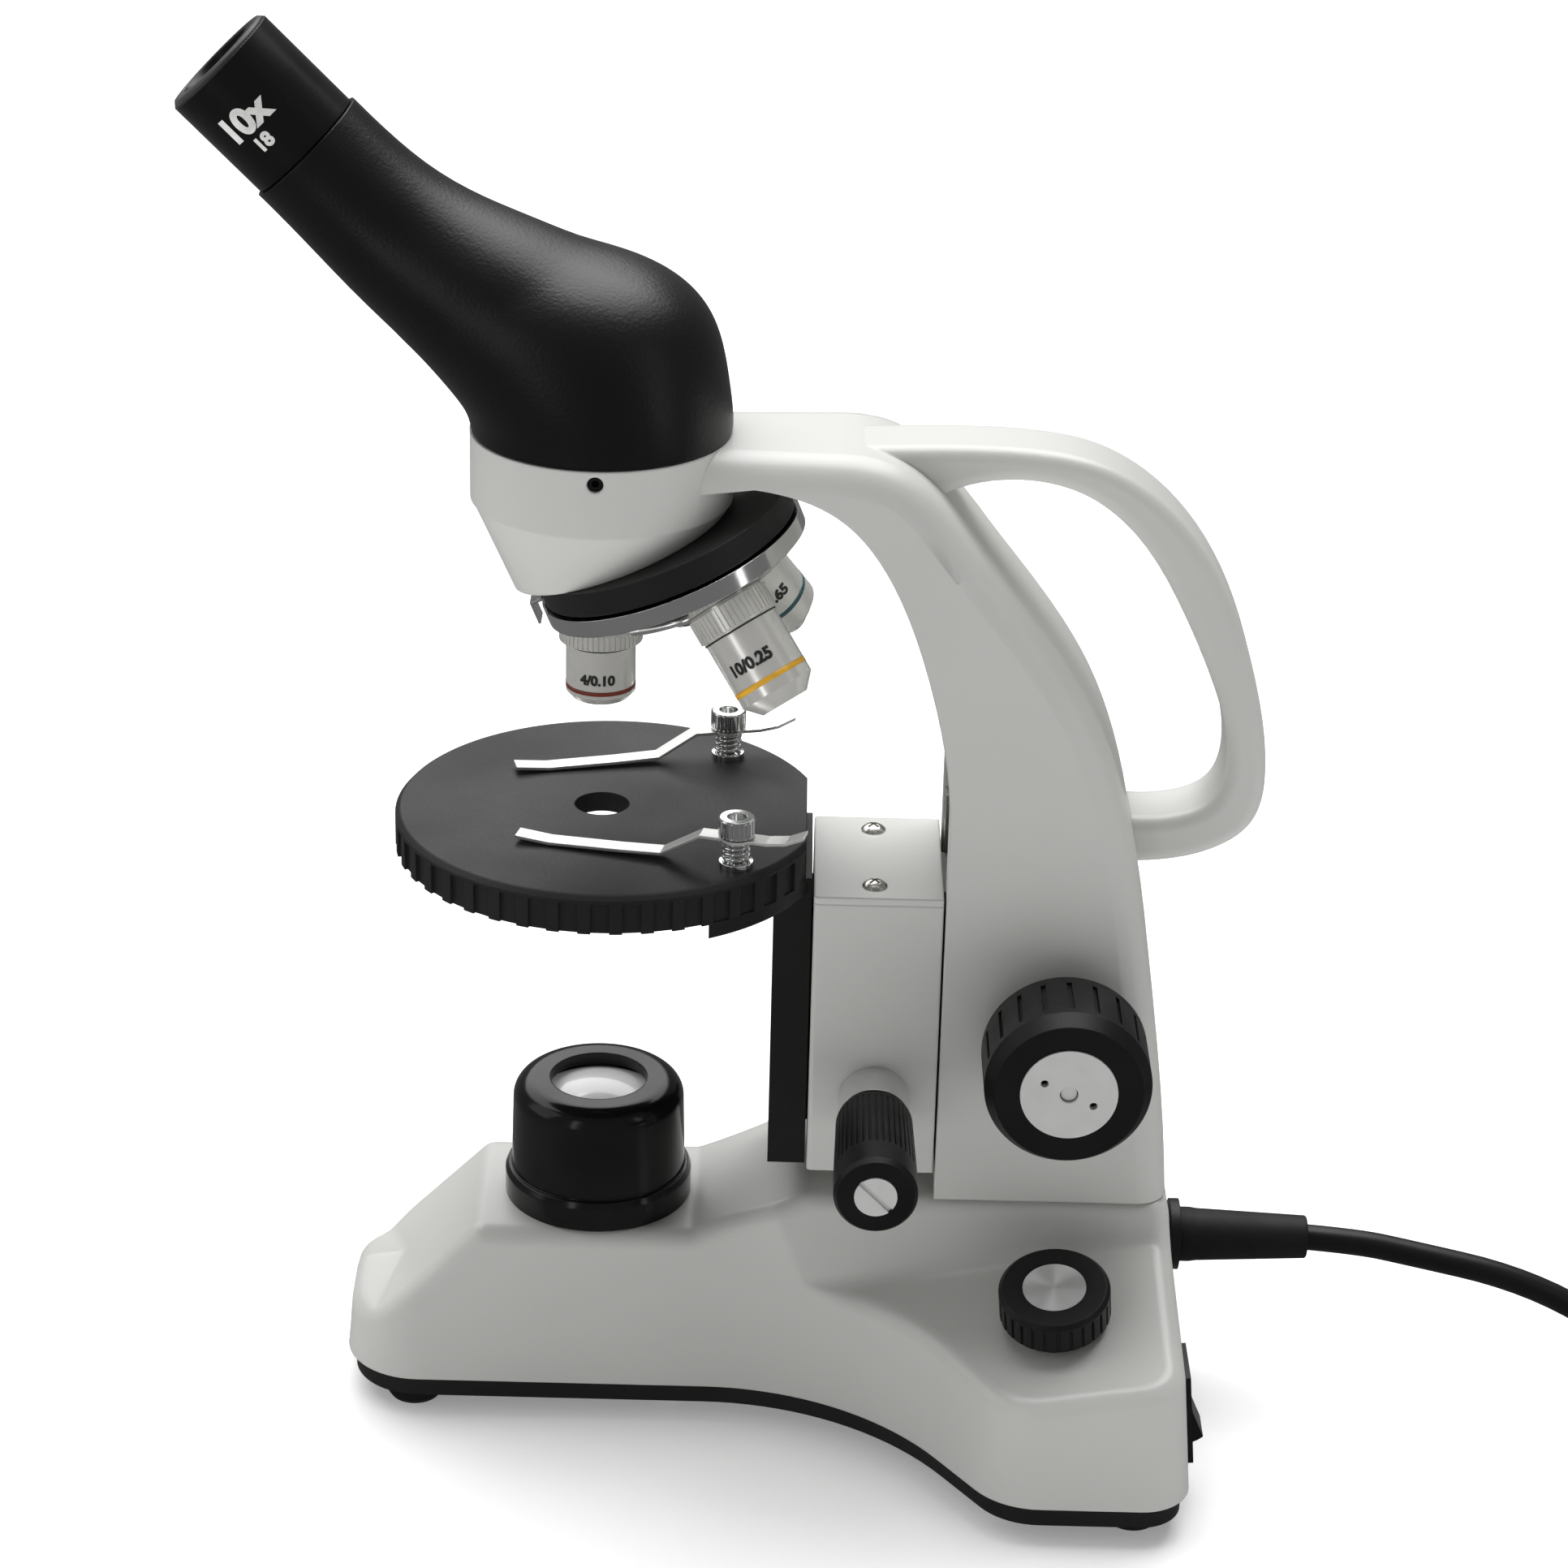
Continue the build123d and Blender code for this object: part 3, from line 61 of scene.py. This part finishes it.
# ---- materials ----------------------------------------------------------------------------------------
class Finish:
    """A principled material whose colour, roughness and surface come from procedural nodes."""

    def __init__(
        self, name, colour, roughness, metallic=0.0, coat=0.0, coat_roughness=0.1, edge=0.0, specular=0.5
    ):
        self.material = bpy.data.materials.new(name)
        self.material.use_nodes = True
        self.tree = self.material.node_tree
        self.shader = self.tree.nodes["Principled BSDF"]
        values = {"Base Color": (*colour, 1), "Roughness": roughness, "Metallic": metallic}
        values.update({"Coat Weight": coat, "Coat Roughness": coat_roughness, "Specular IOR Level": specular})
        for socket, value in values.items():
            self.shader.inputs[socket].default_value = value
        self.colour, self.roughness = colour, roughness
        self.place = self.node("ShaderNodeTexCoord").outputs["Object"]
        self.normal = None
        if edge:
            self.normal = self.node("ShaderNodeBevel", samples=6, radius=edge).outputs[0]
            self.join(self.normal, "Normal")

    def node(self, kind, **settings):
        made = self.tree.nodes.new(kind)
        for name, value in settings.items():
            if hasattr(made, name):
                setattr(made, name, value)
            else:
                made.inputs[name.replace("_", " ").title()].default_value = value
        return made

    def link(self, out, into):
        self.tree.links.new(out, into)

    def join(self, out, socket):
        self.link(out, self.shader.inputs[socket])

    def noise(self, scale, detail=2.0, stretch=None):
        made = self.node("ShaderNodeTexNoise")
        made.inputs["Scale"].default_value = scale
        made.inputs["Detail"].default_value = detail
        place = self.place
        if stretch:
            mapping = self.node("ShaderNodeMapping")
            mapping.inputs["Scale"].default_value = stretch
            self.link(place, mapping.inputs["Vector"])
            place = mapping.outputs[0]
        self.link(place, made.inputs["Vector"])
        return made.outputs["Fac"]

    def spread(self, value, low, high, start=0.3, end=0.7):
        """A value between start and end, spread over low to high."""
        made = self.node("ShaderNodeMapRange")
        for socket, number in (("From Min", start), ("From Max", end), ("To Min", low), ("To Max", high)):
            made.inputs[socket].default_value = number
        self.link(value, made.inputs["Value"])
        return made.outputs[0]

    def mixer(self, value):
        """A colour mix steered by value: its two colour inputs, after its output is joined to the colour."""
        made = self.node("ShaderNodeMix", data_type="RGBA")
        self.link(value, made.inputs["Factor"])
        self.join([slot for slot in made.outputs if slot.type == "RGBA"][0], "Base Color")
        return [slot for slot in made.inputs if slot.type == "RGBA"]

    def varied(self, scale, colour_shift, rough_shift, stretch=None, detail=3.0):
        """Uneven colour and sheen, as handled and cleaned surfaces have."""
        value = self.noise(scale, detail, stretch)
        dark = tuple(c * (1 - colour_shift) for c in self.colour)
        light = tuple(min(1.0, c * (1 + colour_shift)) for c in self.colour)
        for slot, colour in zip(self.mixer(self.spread(value, 0, 1)), (dark, light)):
            slot.default_value = (*colour, 1)
        sheen = max(0.02, self.roughness - rough_shift)
        self.join(self.spread(value, self.roughness + rough_shift, sheen), "Roughness")
        return self

    def bumpy(self, scale, height, strength=1.0, detail=2.0, stretch=None):
        """Relief of that height in metres at that scale."""
        return self.relief(self.noise(scale, detail, stretch), height, strength)

    def relief(self, value, height, strength=1.0):
        bump = self.node("ShaderNodeBump")
        bump.inputs["Strength"].default_value = strength
        bump.inputs["Distance"].default_value = height
        self.link(value, bump.inputs["Height"])
        if self.normal:
            self.link(self.normal, bump.inputs["Normal"])
        self.normal = bump.outputs[0]
        self.join(self.normal, "Normal")
        return self

    def worn(self, amount, colour, radius=0.0006):
        """Rubbed edges over a varied finish: a lighter colour where the surface turns sharply."""
        soft = self.node("ShaderNodeBevel", samples=4, radius=radius).outputs[0]
        sharp = self.node("ShaderNodeNewGeometry").outputs["Normal"]
        dot = self.node("ShaderNodeVectorMath", operation="DOT_PRODUCT")
        self.link(soft, dot.inputs[0])
        self.link(sharp, dot.inputs[1])
        mask = self.spread(dot.outputs["Value"], amount, 0.0, 0.75, 0.97)
        broken = self.node("ShaderNodeMath", operation="MULTIPLY")
        self.link(mask, broken.inputs[0])
        self.link(self.spread(self.noise(180, 4), 0.0, 1.0, 0.45, 0.6), broken.inputs[1])
        before = self.shader.inputs["Base Color"].links[0].from_socket
        plain, rubbed = self.mixer(broken.outputs[0])
        self.link(before, plain)
        rubbed.default_value = (*colour, 1)
        return self


def spun(finish, across, height=0.000004):
    """Fine turning marks round an axis through the piece; across is the two axes square to it."""
    split = finish.node("ShaderNodeSeparateXYZ")
    coords = finish.node("ShaderNodeTexCoord").outputs["Generated"]
    finish.link(coords, split.inputs[0])
    total = None
    for axis in across:
        off = finish.node("ShaderNodeMath", operation="SUBTRACT")
        finish.link(split.outputs[axis], off.inputs[0])
        off.inputs[1].default_value = 0.5
        square = finish.node("ShaderNodeMath", operation="POWER")
        finish.link(off.outputs[0], square.inputs[0])
        square.inputs[1].default_value = 2.0
        if total is None:
            total = square.outputs[0]
        else:
            add = finish.node("ShaderNodeMath", operation="ADD")
            finish.link(total, add.inputs[0])
            finish.link(square.outputs[0], add.inputs[1])
            total = add.outputs[0]
    radius = finish.node("ShaderNodeMath", operation="SQRT")
    finish.link(total, radius.inputs[0])
    noise = finish.node("ShaderNodeTexNoise", noise_dimensions="1D")
    noise.inputs["Scale"].default_value = 60.0
    noise.inputs["Detail"].default_value = 6.0
    finish.link(radius.outputs[0], noise.inputs["W"])
    return finish.relief(noise.outputs["Fac"], height, 1.0)


def paint_white(name="casting_white", tone=(0.58, 0.585, 0.56)):
    f = Finish(name, tone, 0.36, coat=0.12, coat_roughness=0.25, edge=0.0009)
    f.varied(14, 0.02, 0.05)
    f.bumpy(260, 0.00006, 0.35, 3)
    f.bumpy(1500, 0.00002, 0.25, 2)
    return f.material


def paint_black_texture(name="head_black", tone=(0.003, 0.003, 0.0033), rough=0.38, specular=0.38):
    f = Finish(name, tone, rough, edge=0.0006, specular=specular)
    f.varied(25, 0.2, 0.06)
    f.bumpy(1100, 0.00014, 0.55, 2)
    return f.material


def plastic_black(name, rough, tone=(0.004, 0.004, 0.0045), grain=1800, height=0.00002, edge=0.0004):
    f = Finish(name, tone, rough, edge=edge, specular=0.28)
    f.varied(60, 0.25, 0.05)
    f.bumpy(grain, height, 0.5, 2)
    f.worn(0.2, (0.03, 0.03, 0.03))
    return f.material


def metal(name, tone, rough, streak=None, grain=900, height=0.000005, metallic=1.0):
    f = Finish(name, tone, rough, metallic=metallic, edge=0.00025)
    f.varied(45, 0.05, rough * 0.25)
    f.bumpy(grain, height, 0.6, 3, streak)
    return f.material


def glass_dark(name, tone, rough=0.02):
    f = Finish(name, tone, rough, coat=1.0, coat_roughness=0.02, specular=0.8)
    f.varied(30, 0.2, 0.01)
    return f.material


WHITE = paint_white()
HEAD_BLACK = paint_black_texture()
PLATE_BLACK = paint_black_texture("plate_black", (0.010, 0.010, 0.010), 0.5)
STAGE_BLACK = paint_black_texture("stage_black", (0.013, 0.0135, 0.013), 0.5, 0.33)
EYE_BLACK = plastic_black("eyepiece_black", 0.3)
LAMP_BLACK = plastic_black("lamp_gloss", 0.16, (0.007, 0.007, 0.007), 500, 0.00003, 0.0006)
KNOB_BLACK = plastic_black("knob_black", 0.42, (0.006, 0.006, 0.0065), 1500, 0.00005)
RUBBER = plastic_black("rubber_black", 0.62, (0.006, 0.006, 0.006), 1200, 0.00008)
CORD = plastic_black("lead_black", 0.38, (0.005, 0.005, 0.005), 700, 0.00004)
CHROME = metal("chrome", (0.78, 0.79, 0.78), 0.12)
SATIN = metal("satin_barrel", (0.88, 0.87, 0.83), 0.27, (1, 1, 9), metallic=0.6)
STRIP = metal("clip_steel", (0.86, 0.86, 0.84), 0.3, (1, 9, 1), metallic=0.75)
STEEL = metal("screw_steel", (0.62, 0.61, 0.57), 0.26)
BRASS = metal("brass", (0.72, 0.55, 0.28), 0.3)
CORE = metal("core_steel", (0.2, 0.2, 0.2), 0.5)


def disc_metal():
    f = Finish("disc_satin", (0.74, 0.74, 0.73), 0.42, metallic=0.35, edge=0.0003)
    f.varied(120, 0.04, 0.05)
    spun(f, (0, 2))
    return f.material


def insert_metal():
    f = Finish("insert_spun", (0.85, 0.85, 0.85), 0.34, metallic=0.65)
    f.shader.inputs["Anisotropic"].default_value = 0.85
    tangent = f.node("ShaderNodeTangent", direction_type="RADIAL", axis="Z")
    f.join(tangent.outputs[0], "Tangent")
    f.varied(80, 0.03, 0.04)
    return f.material


def frosted_painted_glow():
    f = Finish("lens_frosted", (0.80, 0.81, 0.80), 0.22, coat=0.8, coat_roughness=0.05)
    f.varied(60, 0.02, 0.05)
    # Painted glow: a weak emission makes the frosted lens brighter than the scene's lights make it; no light
    # shines from the bulb behind it.
    f.shader.inputs["Emission Color"].default_value = (1, 1, 1, 1)
    f.shader.inputs["Emission Strength"].default_value = 0.12
    return f.material


def board_green():
    f = Finish("board_green", (0.02, 0.12, 0.05), 0.4, coat=0.3)
    return f.varied(200, 0.3, 0.05).material


def ceramic():
    return Finish("ceramic", (0.72, 0.69, 0.62), 0.5).varied(120, 0.05, 0.08).material


def clear_glass():
    f = Finish("bulb_glass", (0.85, 0.88, 0.9), 0.05, coat=1.0)
    f.shader.inputs["Transmission Weight"].default_value = 0.6
    return f.varied(90, 0.02, 0.02).material


def enamel(name, tone):
    return Finish(name, tone, 0.35).varied(400, 0.1, 0.05).material


LENS = glass_dark("lens_coated", (0.012, 0.016, 0.028))
FINISHES = {
    "base_casting": WHITE, "arm_casting": WHITE, "block_housing": WHITE, "block_lid": WHITE,
    "base_plate": PLATE_BLACK, "rubber_feet": RUBBER, "plate_screws": STEEL, "arm_fixing_screws": STEEL,
    "head_set_screw": KNOB_BLACK, "nosepiece_base": PLATE_BLACK, "nosepiece_pivot": CHROME,
    "detent_spring": CHROME,
    "slide_guides": STEEL, "shaft_bushes": BRASS, "lamp_housing": LAMP_BLACK, "lamp_lens": frosted_painted_glow(),
    "lamp_holder": ceramic(), "lamp_bulb": clear_glass(), "transformer": CORE, "circuit_board": board_green(),
    "brightness_control": STEEL, "switch_body": KNOB_BLACK, "cord_gland": KNOB_BLACK, "strain_relief": RUBBER,
    "mains_plug": KNOB_BLACK, "plug_pins": CHROME, "head_shell": HEAD_BLACK, "head_dovetail": STEEL,
    "head_prism": clear_glass(), "eyepiece_tube": STEEL, "eyepiece_body": EYE_BLACK,
    "eye_and_field_lens": LENS,
    "nosepiece_plate": CHROME, "objective_4x": SATIN, "objective_10x": SATIN, "objective_40x": SATIN,
    "objective_40x_nose": SATIN, "objective_lenses": LENS, "lens_40x": LENS, "stage_disc": STAGE_BLACK,
    "stage_bracket": PLATE_BLACK, "clip_screws": CHROME, "clip_near": STRIP, "clip_far": STRIP,
    "lid_screws": STEEL, "focus_rack": CORE, "fine_sleeves": CHROME, "coarse_shaft": STEEL,
    "coarse_knobs": KNOB_BLACK, "coarse_discs": disc_metal(), "fine_shaft": STEEL, "fine_knobs": KNOB_BLACK,
    "fine_caps": disc_metal(), "brightness_knob": KNOB_BLACK, "brightness_cap": insert_metal(),
    "power_rocker": LAMP_BLACK,
}
for name, material in FINISHES.items():
    mesh = NODES[name].data
    mesh.materials.clear()
    mesh.materials.append(material)


# ---- pieces -------------------------------------------------------------------------------------------
def piece(name, mesh, material, body, smooth=True):
    made = bpy.data.objects.new(name, mesh)
    bpy.context.scene.collection.objects.link(made)
    mesh.materials.clear()
    mesh.materials.append(material)
    for face in mesh.polygons:
        face.use_smooth = smooth
    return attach(made, body)


def lathe(profile, place, segments=96):
    """A mesh turned from (radius, height) points about the z axis of place, closed into a ring."""
    mesh = bpy.data.meshes.new("lathe")
    build = bmesh.new()
    rows = []
    for i in range(segments):
        turn = 2 * math.pi * i / segments
        spot = [place @ Vector((r * math.cos(turn), r * math.sin(turn), h)) for r, h in profile]
        rows.append([build.verts.new(p) for p in spot])
    count = len(profile)
    for i in range(segments):
        for k in range(count):
            a, b = rows[i], rows[(i + 1) % segments]
            build.faces.new((a[k], b[k], b[(k + 1) % count], a[(k + 1) % count]))
    bmesh.ops.recalc_face_normals(build, faces=build.faces)
    build.to_mesh(mesh)
    build.free()
    return mesh


def tube(path, radius, sides=10):
    """A round wire along the points of path, with closed ends."""
    mesh = bpy.data.meshes.new("wire")
    build = bmesh.new()
    rings = []
    for i, p in enumerate(path):
        way = (path[min(i + 1, len(path) - 1)] - path[max(i - 1, 0)]).normalized()
        side = way.cross(Vector((0, 0, 1))).normalized()
        up = side.cross(way)
        turns = [2 * math.pi * k / sides for k in range(sides)]
        spots = [p + (side * math.cos(a) + up * math.sin(a)) * radius for a in turns]
        rings.append([build.verts.new(spot) for spot in spots])
    for a, b in zip(rings, rings[1:]):
        for k in range(sides):
            build.faces.new((a[k], a[(k + 1) % sides], b[(k + 1) % sides], b[k]))
    build.faces.new(list(reversed(rings[0])))
    build.faces.new(rings[-1])
    bmesh.ops.recalc_face_normals(build, faces=build.faces)
    build.to_mesh(mesh)
    build.free()
    return mesh


def axis_frame(origin, along, facing):
    """A frame with z along a direction and x as near as it can to facing."""
    z = Vector(along).normalized()
    x = (Vector(facing) - z * Vector(facing).dot(z)).normalized()
    y = z.cross(x)
    return Matrix.Translation(origin) @ Matrix((x, y, z)).transposed().to_4x4()


def lettering(text, height, place, radius, level, turn=0.0):
    """Flat printed figures wrapped round a cylinder about place's z axis, their tops towards +z."""
    curve = bpy.data.curves.new("figures", "FONT")
    curve.body, curve.size = text, height / 0.7
    curve.align_x, curve.align_y = "CENTER", "CENTER"
    curve.offset = 0.05 * curve.size
    curve.resolution_u = 6
    holder = bpy.data.objects.new("figures", curve)
    mesh = bpy.data.meshes.new_from_object(holder)
    bpy.data.objects.remove(holder)
    build = bmesh.new()
    build.from_mesh(mesh)
    bmesh.ops.triangulate(build, faces=build.faces)
    bmesh.ops.subdivide_edges(build, edges=build.edges, cuts=2)
    lift = radius + 0.00008
    for v in build.verts:
        angle = turn + v.co.x / radius
        v.co = place @ Vector((lift * math.cos(angle), lift * math.sin(angle), level + v.co.y))
    build.to_mesh(mesh)
    build.free()
    return mesh


def band(name, body, place, radius, low, high, material):
    """A printed or enamelled ring round a barrel."""
    out = radius + 0.00006
    inside = radius - 0.0004
    mesh = lathe([(inside, low), (out, low), (out, high), (inside, high)], place)
    return piece(name, mesh, material, body)


SPIN_AXIS = Vector((math.sin(math.radians(22.5)), 0, -math.cos(math.radians(22.5))))
APEX = at(0, 0, 277.3)


def objective_frame(station):
    """At the apex, z down the objective's axis and x towards where its figures face."""
    turned = Matrix.Rotation(math.radians(120 * station), 3, SPIN_AXIS)
    down = turned @ Vector((0, 0, -1))
    return axis_frame(APEX, -down, Vector((0.05, -1, 0.1)))


INK = enamel("print_black", (0.02, 0.02, 0.018))
PRINT_WHITE = enamel("print_white", (0.72, 0.72, 0.70))
BANDS = {
    "4x": (0, 8.8, 75.9, 77.0, enamel("band_red", (0.19, 0.035, 0.015)), "4/0.10", 2.5, 72.9, -0.1),
    "10x": (-1, 9.7, 80.2, 81.6, enamel("band_yellow", (0.80, 0.42, 0.02)), "10/0.25", 2.9, 75.4, -0.15),
    "40x": (1, 9.7, 79.4, 80.6, enamel("band_blue", (0.03, 0.10, 0.11)), "40/0.65", 2.9, 74.4, 0.0),
}
for name, (station, radius, start, end, material, text, size, level, turn) in BANDS.items():
    place = objective_frame(station)
    band(f"band_{name}", "nosepiece", place, radius * MM, -end * MM, -start * MM, material)
    groove = 64.9 if station == 0 else 66.5
    inner = (8.9 if station == 0 else 9.9) * MM
    band(f"groove_{name}", "nosepiece", place, inner, -(groove + 0.25) * MM, -(groove - 0.2) * MM, INK)
    figures = lettering(text, size * MM, place, radius * MM, -level * MM, turn)
    piece(f"figures_{name}", figures, INK, "nosepiece", smooth=False)

TUBE = Vector((-1, 0, 1)).normalized()
TUBE_END = at(-71.0, 0, 337.4)
eye_place = axis_frame(TUBE_END, TUBE, Vector((0.0, -1, 0.0)))
for name, text, size, level in (("power", "10x", 6.3, 15.6), ("field", "18", 3.4, 9.0)):
    figures = lettering(text, size * MM, eye_place, 15.3 * MM, level * MM, math.radians(-8))
    piece(f"eyepiece_{name}", figures, PRINT_WHITE, "eyepiece", smooth=False)
RIM = [(15.33, 28.0), (15.33, 28.05), (14.15, 29.36), (10.9, 29.36), (10.9, 29.2), (14.0, 29.2)]
RIM_GREY = plastic_black("rim_grey", 0.35, (0.05, 0.05, 0.05))
piece("eyepiece_rim", lathe([(r * MM, h * MM) for r, h in RIM], eye_place), RIM_GREY, "eyepiece")


COIL_TURNS, COIL_STEPS = 4, 26
COIL_R, COIL_WIRE, COIL_FOOT, COIL_RISE = 3.15 * MM, 0.45 * MM, 2.45 * MM, 4.3 * MM


def clip_coil(name, x, y):
    """The coil spring that presses a stage clip down; its end turns lie flat."""
    foot = Vector((AXIS_X + x * MM, y * MM, STAGE_TOP + COIL_FOOT))
    steps = COIL_TURNS * COIL_STEPS
    path = []
    for i in range(steps + 1):
        angle = 2 * math.pi * i / COIL_STEPS
        climb = min(1.0, max(0.0, (i / steps - 0.12) / 0.76))
        path.append(foot + Vector((COIL_R * math.cos(angle), COIL_R * math.sin(angle), COIL_RISE * climb)))
    return piece(name, tube(path, COIL_WIRE), CHROME, "stage_carrier")


coils = [clip_coil("clip_coil_near", 35.5, -35.2), clip_coil("clip_coil_far", 32.0, 32.0)]
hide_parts("clip_springs")

# ---- mains lead: its route in millimetres from the optical axis ----------------------------------------
LEAD = [
    (189, 0, 44.3), (204, -0.1, 43.2), (216, -0.3, 40.8), (249, -2.2, 34.2), (276, -5.6, 20.5), (298, -10, 6),
    (319.2, -12.8, 3.8), (339.2, -6.1, 3.8), (354.8, 8.1, 3.8), (363.4, 27.4, 3.8), (363.5, 44, 3.8),
]
TAIL = [(362.8, 78, 20.5), (359, 102, 9), (350, 122, 4.2), (339, 140, 6.9)]
# (turns wound so far, radius, height): the lead lies in two lanes and three layers
LANES = [
    (0.0, 41, 3.6), (0.72, 41, 3.6), (0.9, 34, 3.6), (1.5, 34, 3.6), (1.68, 34, 10.3), (2.28, 34, 10.3),
    (2.46, 41, 10.3), (3.04, 41, 10.3), (3.24, 34, 16.9), (3.84, 34, 16.9), (4.0, 41, 16.9), (4.75, 41, 16.9),
    (5.05, 41, 23.2), (5.2, 41, 23.2),
]


def lane(turns):
    """Radius and height of the winding after so many turns."""
    for (a, r0, z0), (b, r1, z1) in zip(LANES, LANES[1:]):
        if turns <= b:
            t = (turns - a) / (b - a)
            t = t * t * (3 - 2 * t)
            return r0 + (r1 - r0) * t, z0 + (z1 - z0) * t
    return LANES[-1][1:]


WINDING_X, WINDING_Y = 322, 50
WINDING_START = -8  # degrees
TURN_POINTS = 24
WINDING_POINTS = 121
SPREAD = 1.0086  # the curve runs inside its control points


def winding():
    """The wound part of the lead, turn on turn, up to where the tail leaves it."""
    points = []
    for i in range(1, WINDING_POINTS + 1):
        radius, height = lane(i / TURN_POINTS)
        angle = math.radians(WINDING_START + 360 * i / TURN_POINTS)
        x = WINDING_X + SPREAD * radius * math.cos(angle)
        y = WINDING_Y + SPREAD * radius * math.sin(angle)
        points.append((x, y, height))
    return points


route = LEAD + winding() + TAIL
curve = bpy.data.curves.new("mains_cord", "CURVE")
curve.dimensions = "3D"
curve.bevel_depth = 3.5 * MM
curve.bevel_resolution = 6
curve.resolution_u = 6
curve.use_fill_caps = True
spline = curve.splines.new("NURBS")
spline.points.add(len(route) - 1)
for point, spot in zip(spline.points, route):
    point.co = (*at(*spot), 1)
spline.order_u = 3
spline.use_endpoint_u = True
curve.materials.append(CORD)
cord = bpy.data.objects.new("mains_cord", curve)
bpy.context.scene.collection.objects.link(cord)
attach(cord, "stand")
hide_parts("mains_lead", "mains_lead_coil", "mains_lead_tail")

# ---- camera, light and floor ----------------------------------------------------------------------------
camera_data = bpy.data.cameras.new("camera")
camera_data.lens = 92.66
camera_data.sensor_width = 36.0
camera_data.clip_start, camera_data.clip_end = 0.05, 50
camera = bpy.data.objects.new("camera", camera_data)
bpy.context.scene.collection.objects.link(camera)
CAMERA_PLACE = at(45.83, -940.24, 595.81)
pitch, yaw, roll = math.radians(-24.177), math.radians(0.067), math.radians(1.451)
forward = Vector((math.sin(yaw) * math.cos(pitch), math.cos(yaw) * math.cos(pitch), math.sin(pitch)))
right = forward.cross(Vector((0, 0, 1))).normalized()
up = right.cross(forward)
tilted = right * math.cos(roll) + up * math.sin(roll)
upward = up * math.cos(roll) - right * math.sin(roll)
turned = Matrix((tilted, upward, -forward)).transposed().to_4x4()
camera.matrix_world = Matrix.Translation(CAMERA_PLACE) @ turned
bpy.context.scene.camera = camera

floor_mesh = bpy.data.meshes.new("floor")
FLOOR = 4.0  # half its width
corners = [(-FLOOR, -FLOOR, 0), (FLOOR, -FLOOR, 0), (FLOOR, FLOOR, 0), (-FLOOR, FLOOR, 0)]
floor_mesh.from_pydata(corners, [], [(0, 1, 2, 3)])
floor = bpy.data.objects.new("floor", floor_mesh)
bpy.context.scene.collection.objects.link(floor)
pale = Finish("floor_pale", (0.93, 0.93, 0.93), 0.9)
pale.varied(6, 0.003, 0.02)
pale.shader.inputs["Emission Color"].default_value = (1, 1, 1, 1)
pale.shader.inputs["Emission Strength"].default_value = 0.24
floor_mesh.materials.append(pale.material)
floor.visible_glossy = False


def softbox(name, place, aim, size, power, tint=(1, 1, 1)):
    data = bpy.data.lights.new(name, "AREA")
    data.shape, data.size, data.size_y = "RECTANGLE", size[0], size[1]
    data.energy, data.color = power, tint
    lamp = bpy.data.objects.new(name, data)
    bpy.context.scene.collection.objects.link(lamp)
    lamp.location = place
    lamp.rotation_euler = (Vector(aim) - Vector(place)).to_track_quat("-Z", "Y").to_euler()
    return lamp


sun_data = bpy.data.lights.new("sky", "SUN")
sun_data.energy, sun_data.angle = 2.6, math.radians(75)
sun = bpy.data.objects.new("sky", sun_data)
sun.rotation_euler = (math.radians(-30), math.radians(-10), 0)
bpy.context.scene.collection.objects.link(sun)
softbox("top", (0.1, 0.35, 1.3), (0, 0, 0.15), (1.3, 0.9), 11)
softbox("left", (-1.1, -0.1, 0.7), (0, 0, 0.15), (0.8, 0.9), 2)
softbox("front_left", (-0.50, -0.85, 0.42), (0, 0, 0.22), (0.12, 0.8), 0.6)
softbox("front_right", (0.80, -0.50, 0.42), (0, 0, 0.22), (0.10, 0.8), 0.4)
world = bpy.data.worlds.new("room")
world.use_nodes = True
world.node_tree.nodes["Background"].inputs["Color"].default_value = (1, 1, 1, 1)
world.node_tree.nodes["Background"].inputs["Strength"].default_value = 0.16
bpy.context.scene.world = world
bpy.context.scene.view_settings.view_transform = "Standard"

bpy.context.view_layer.update()
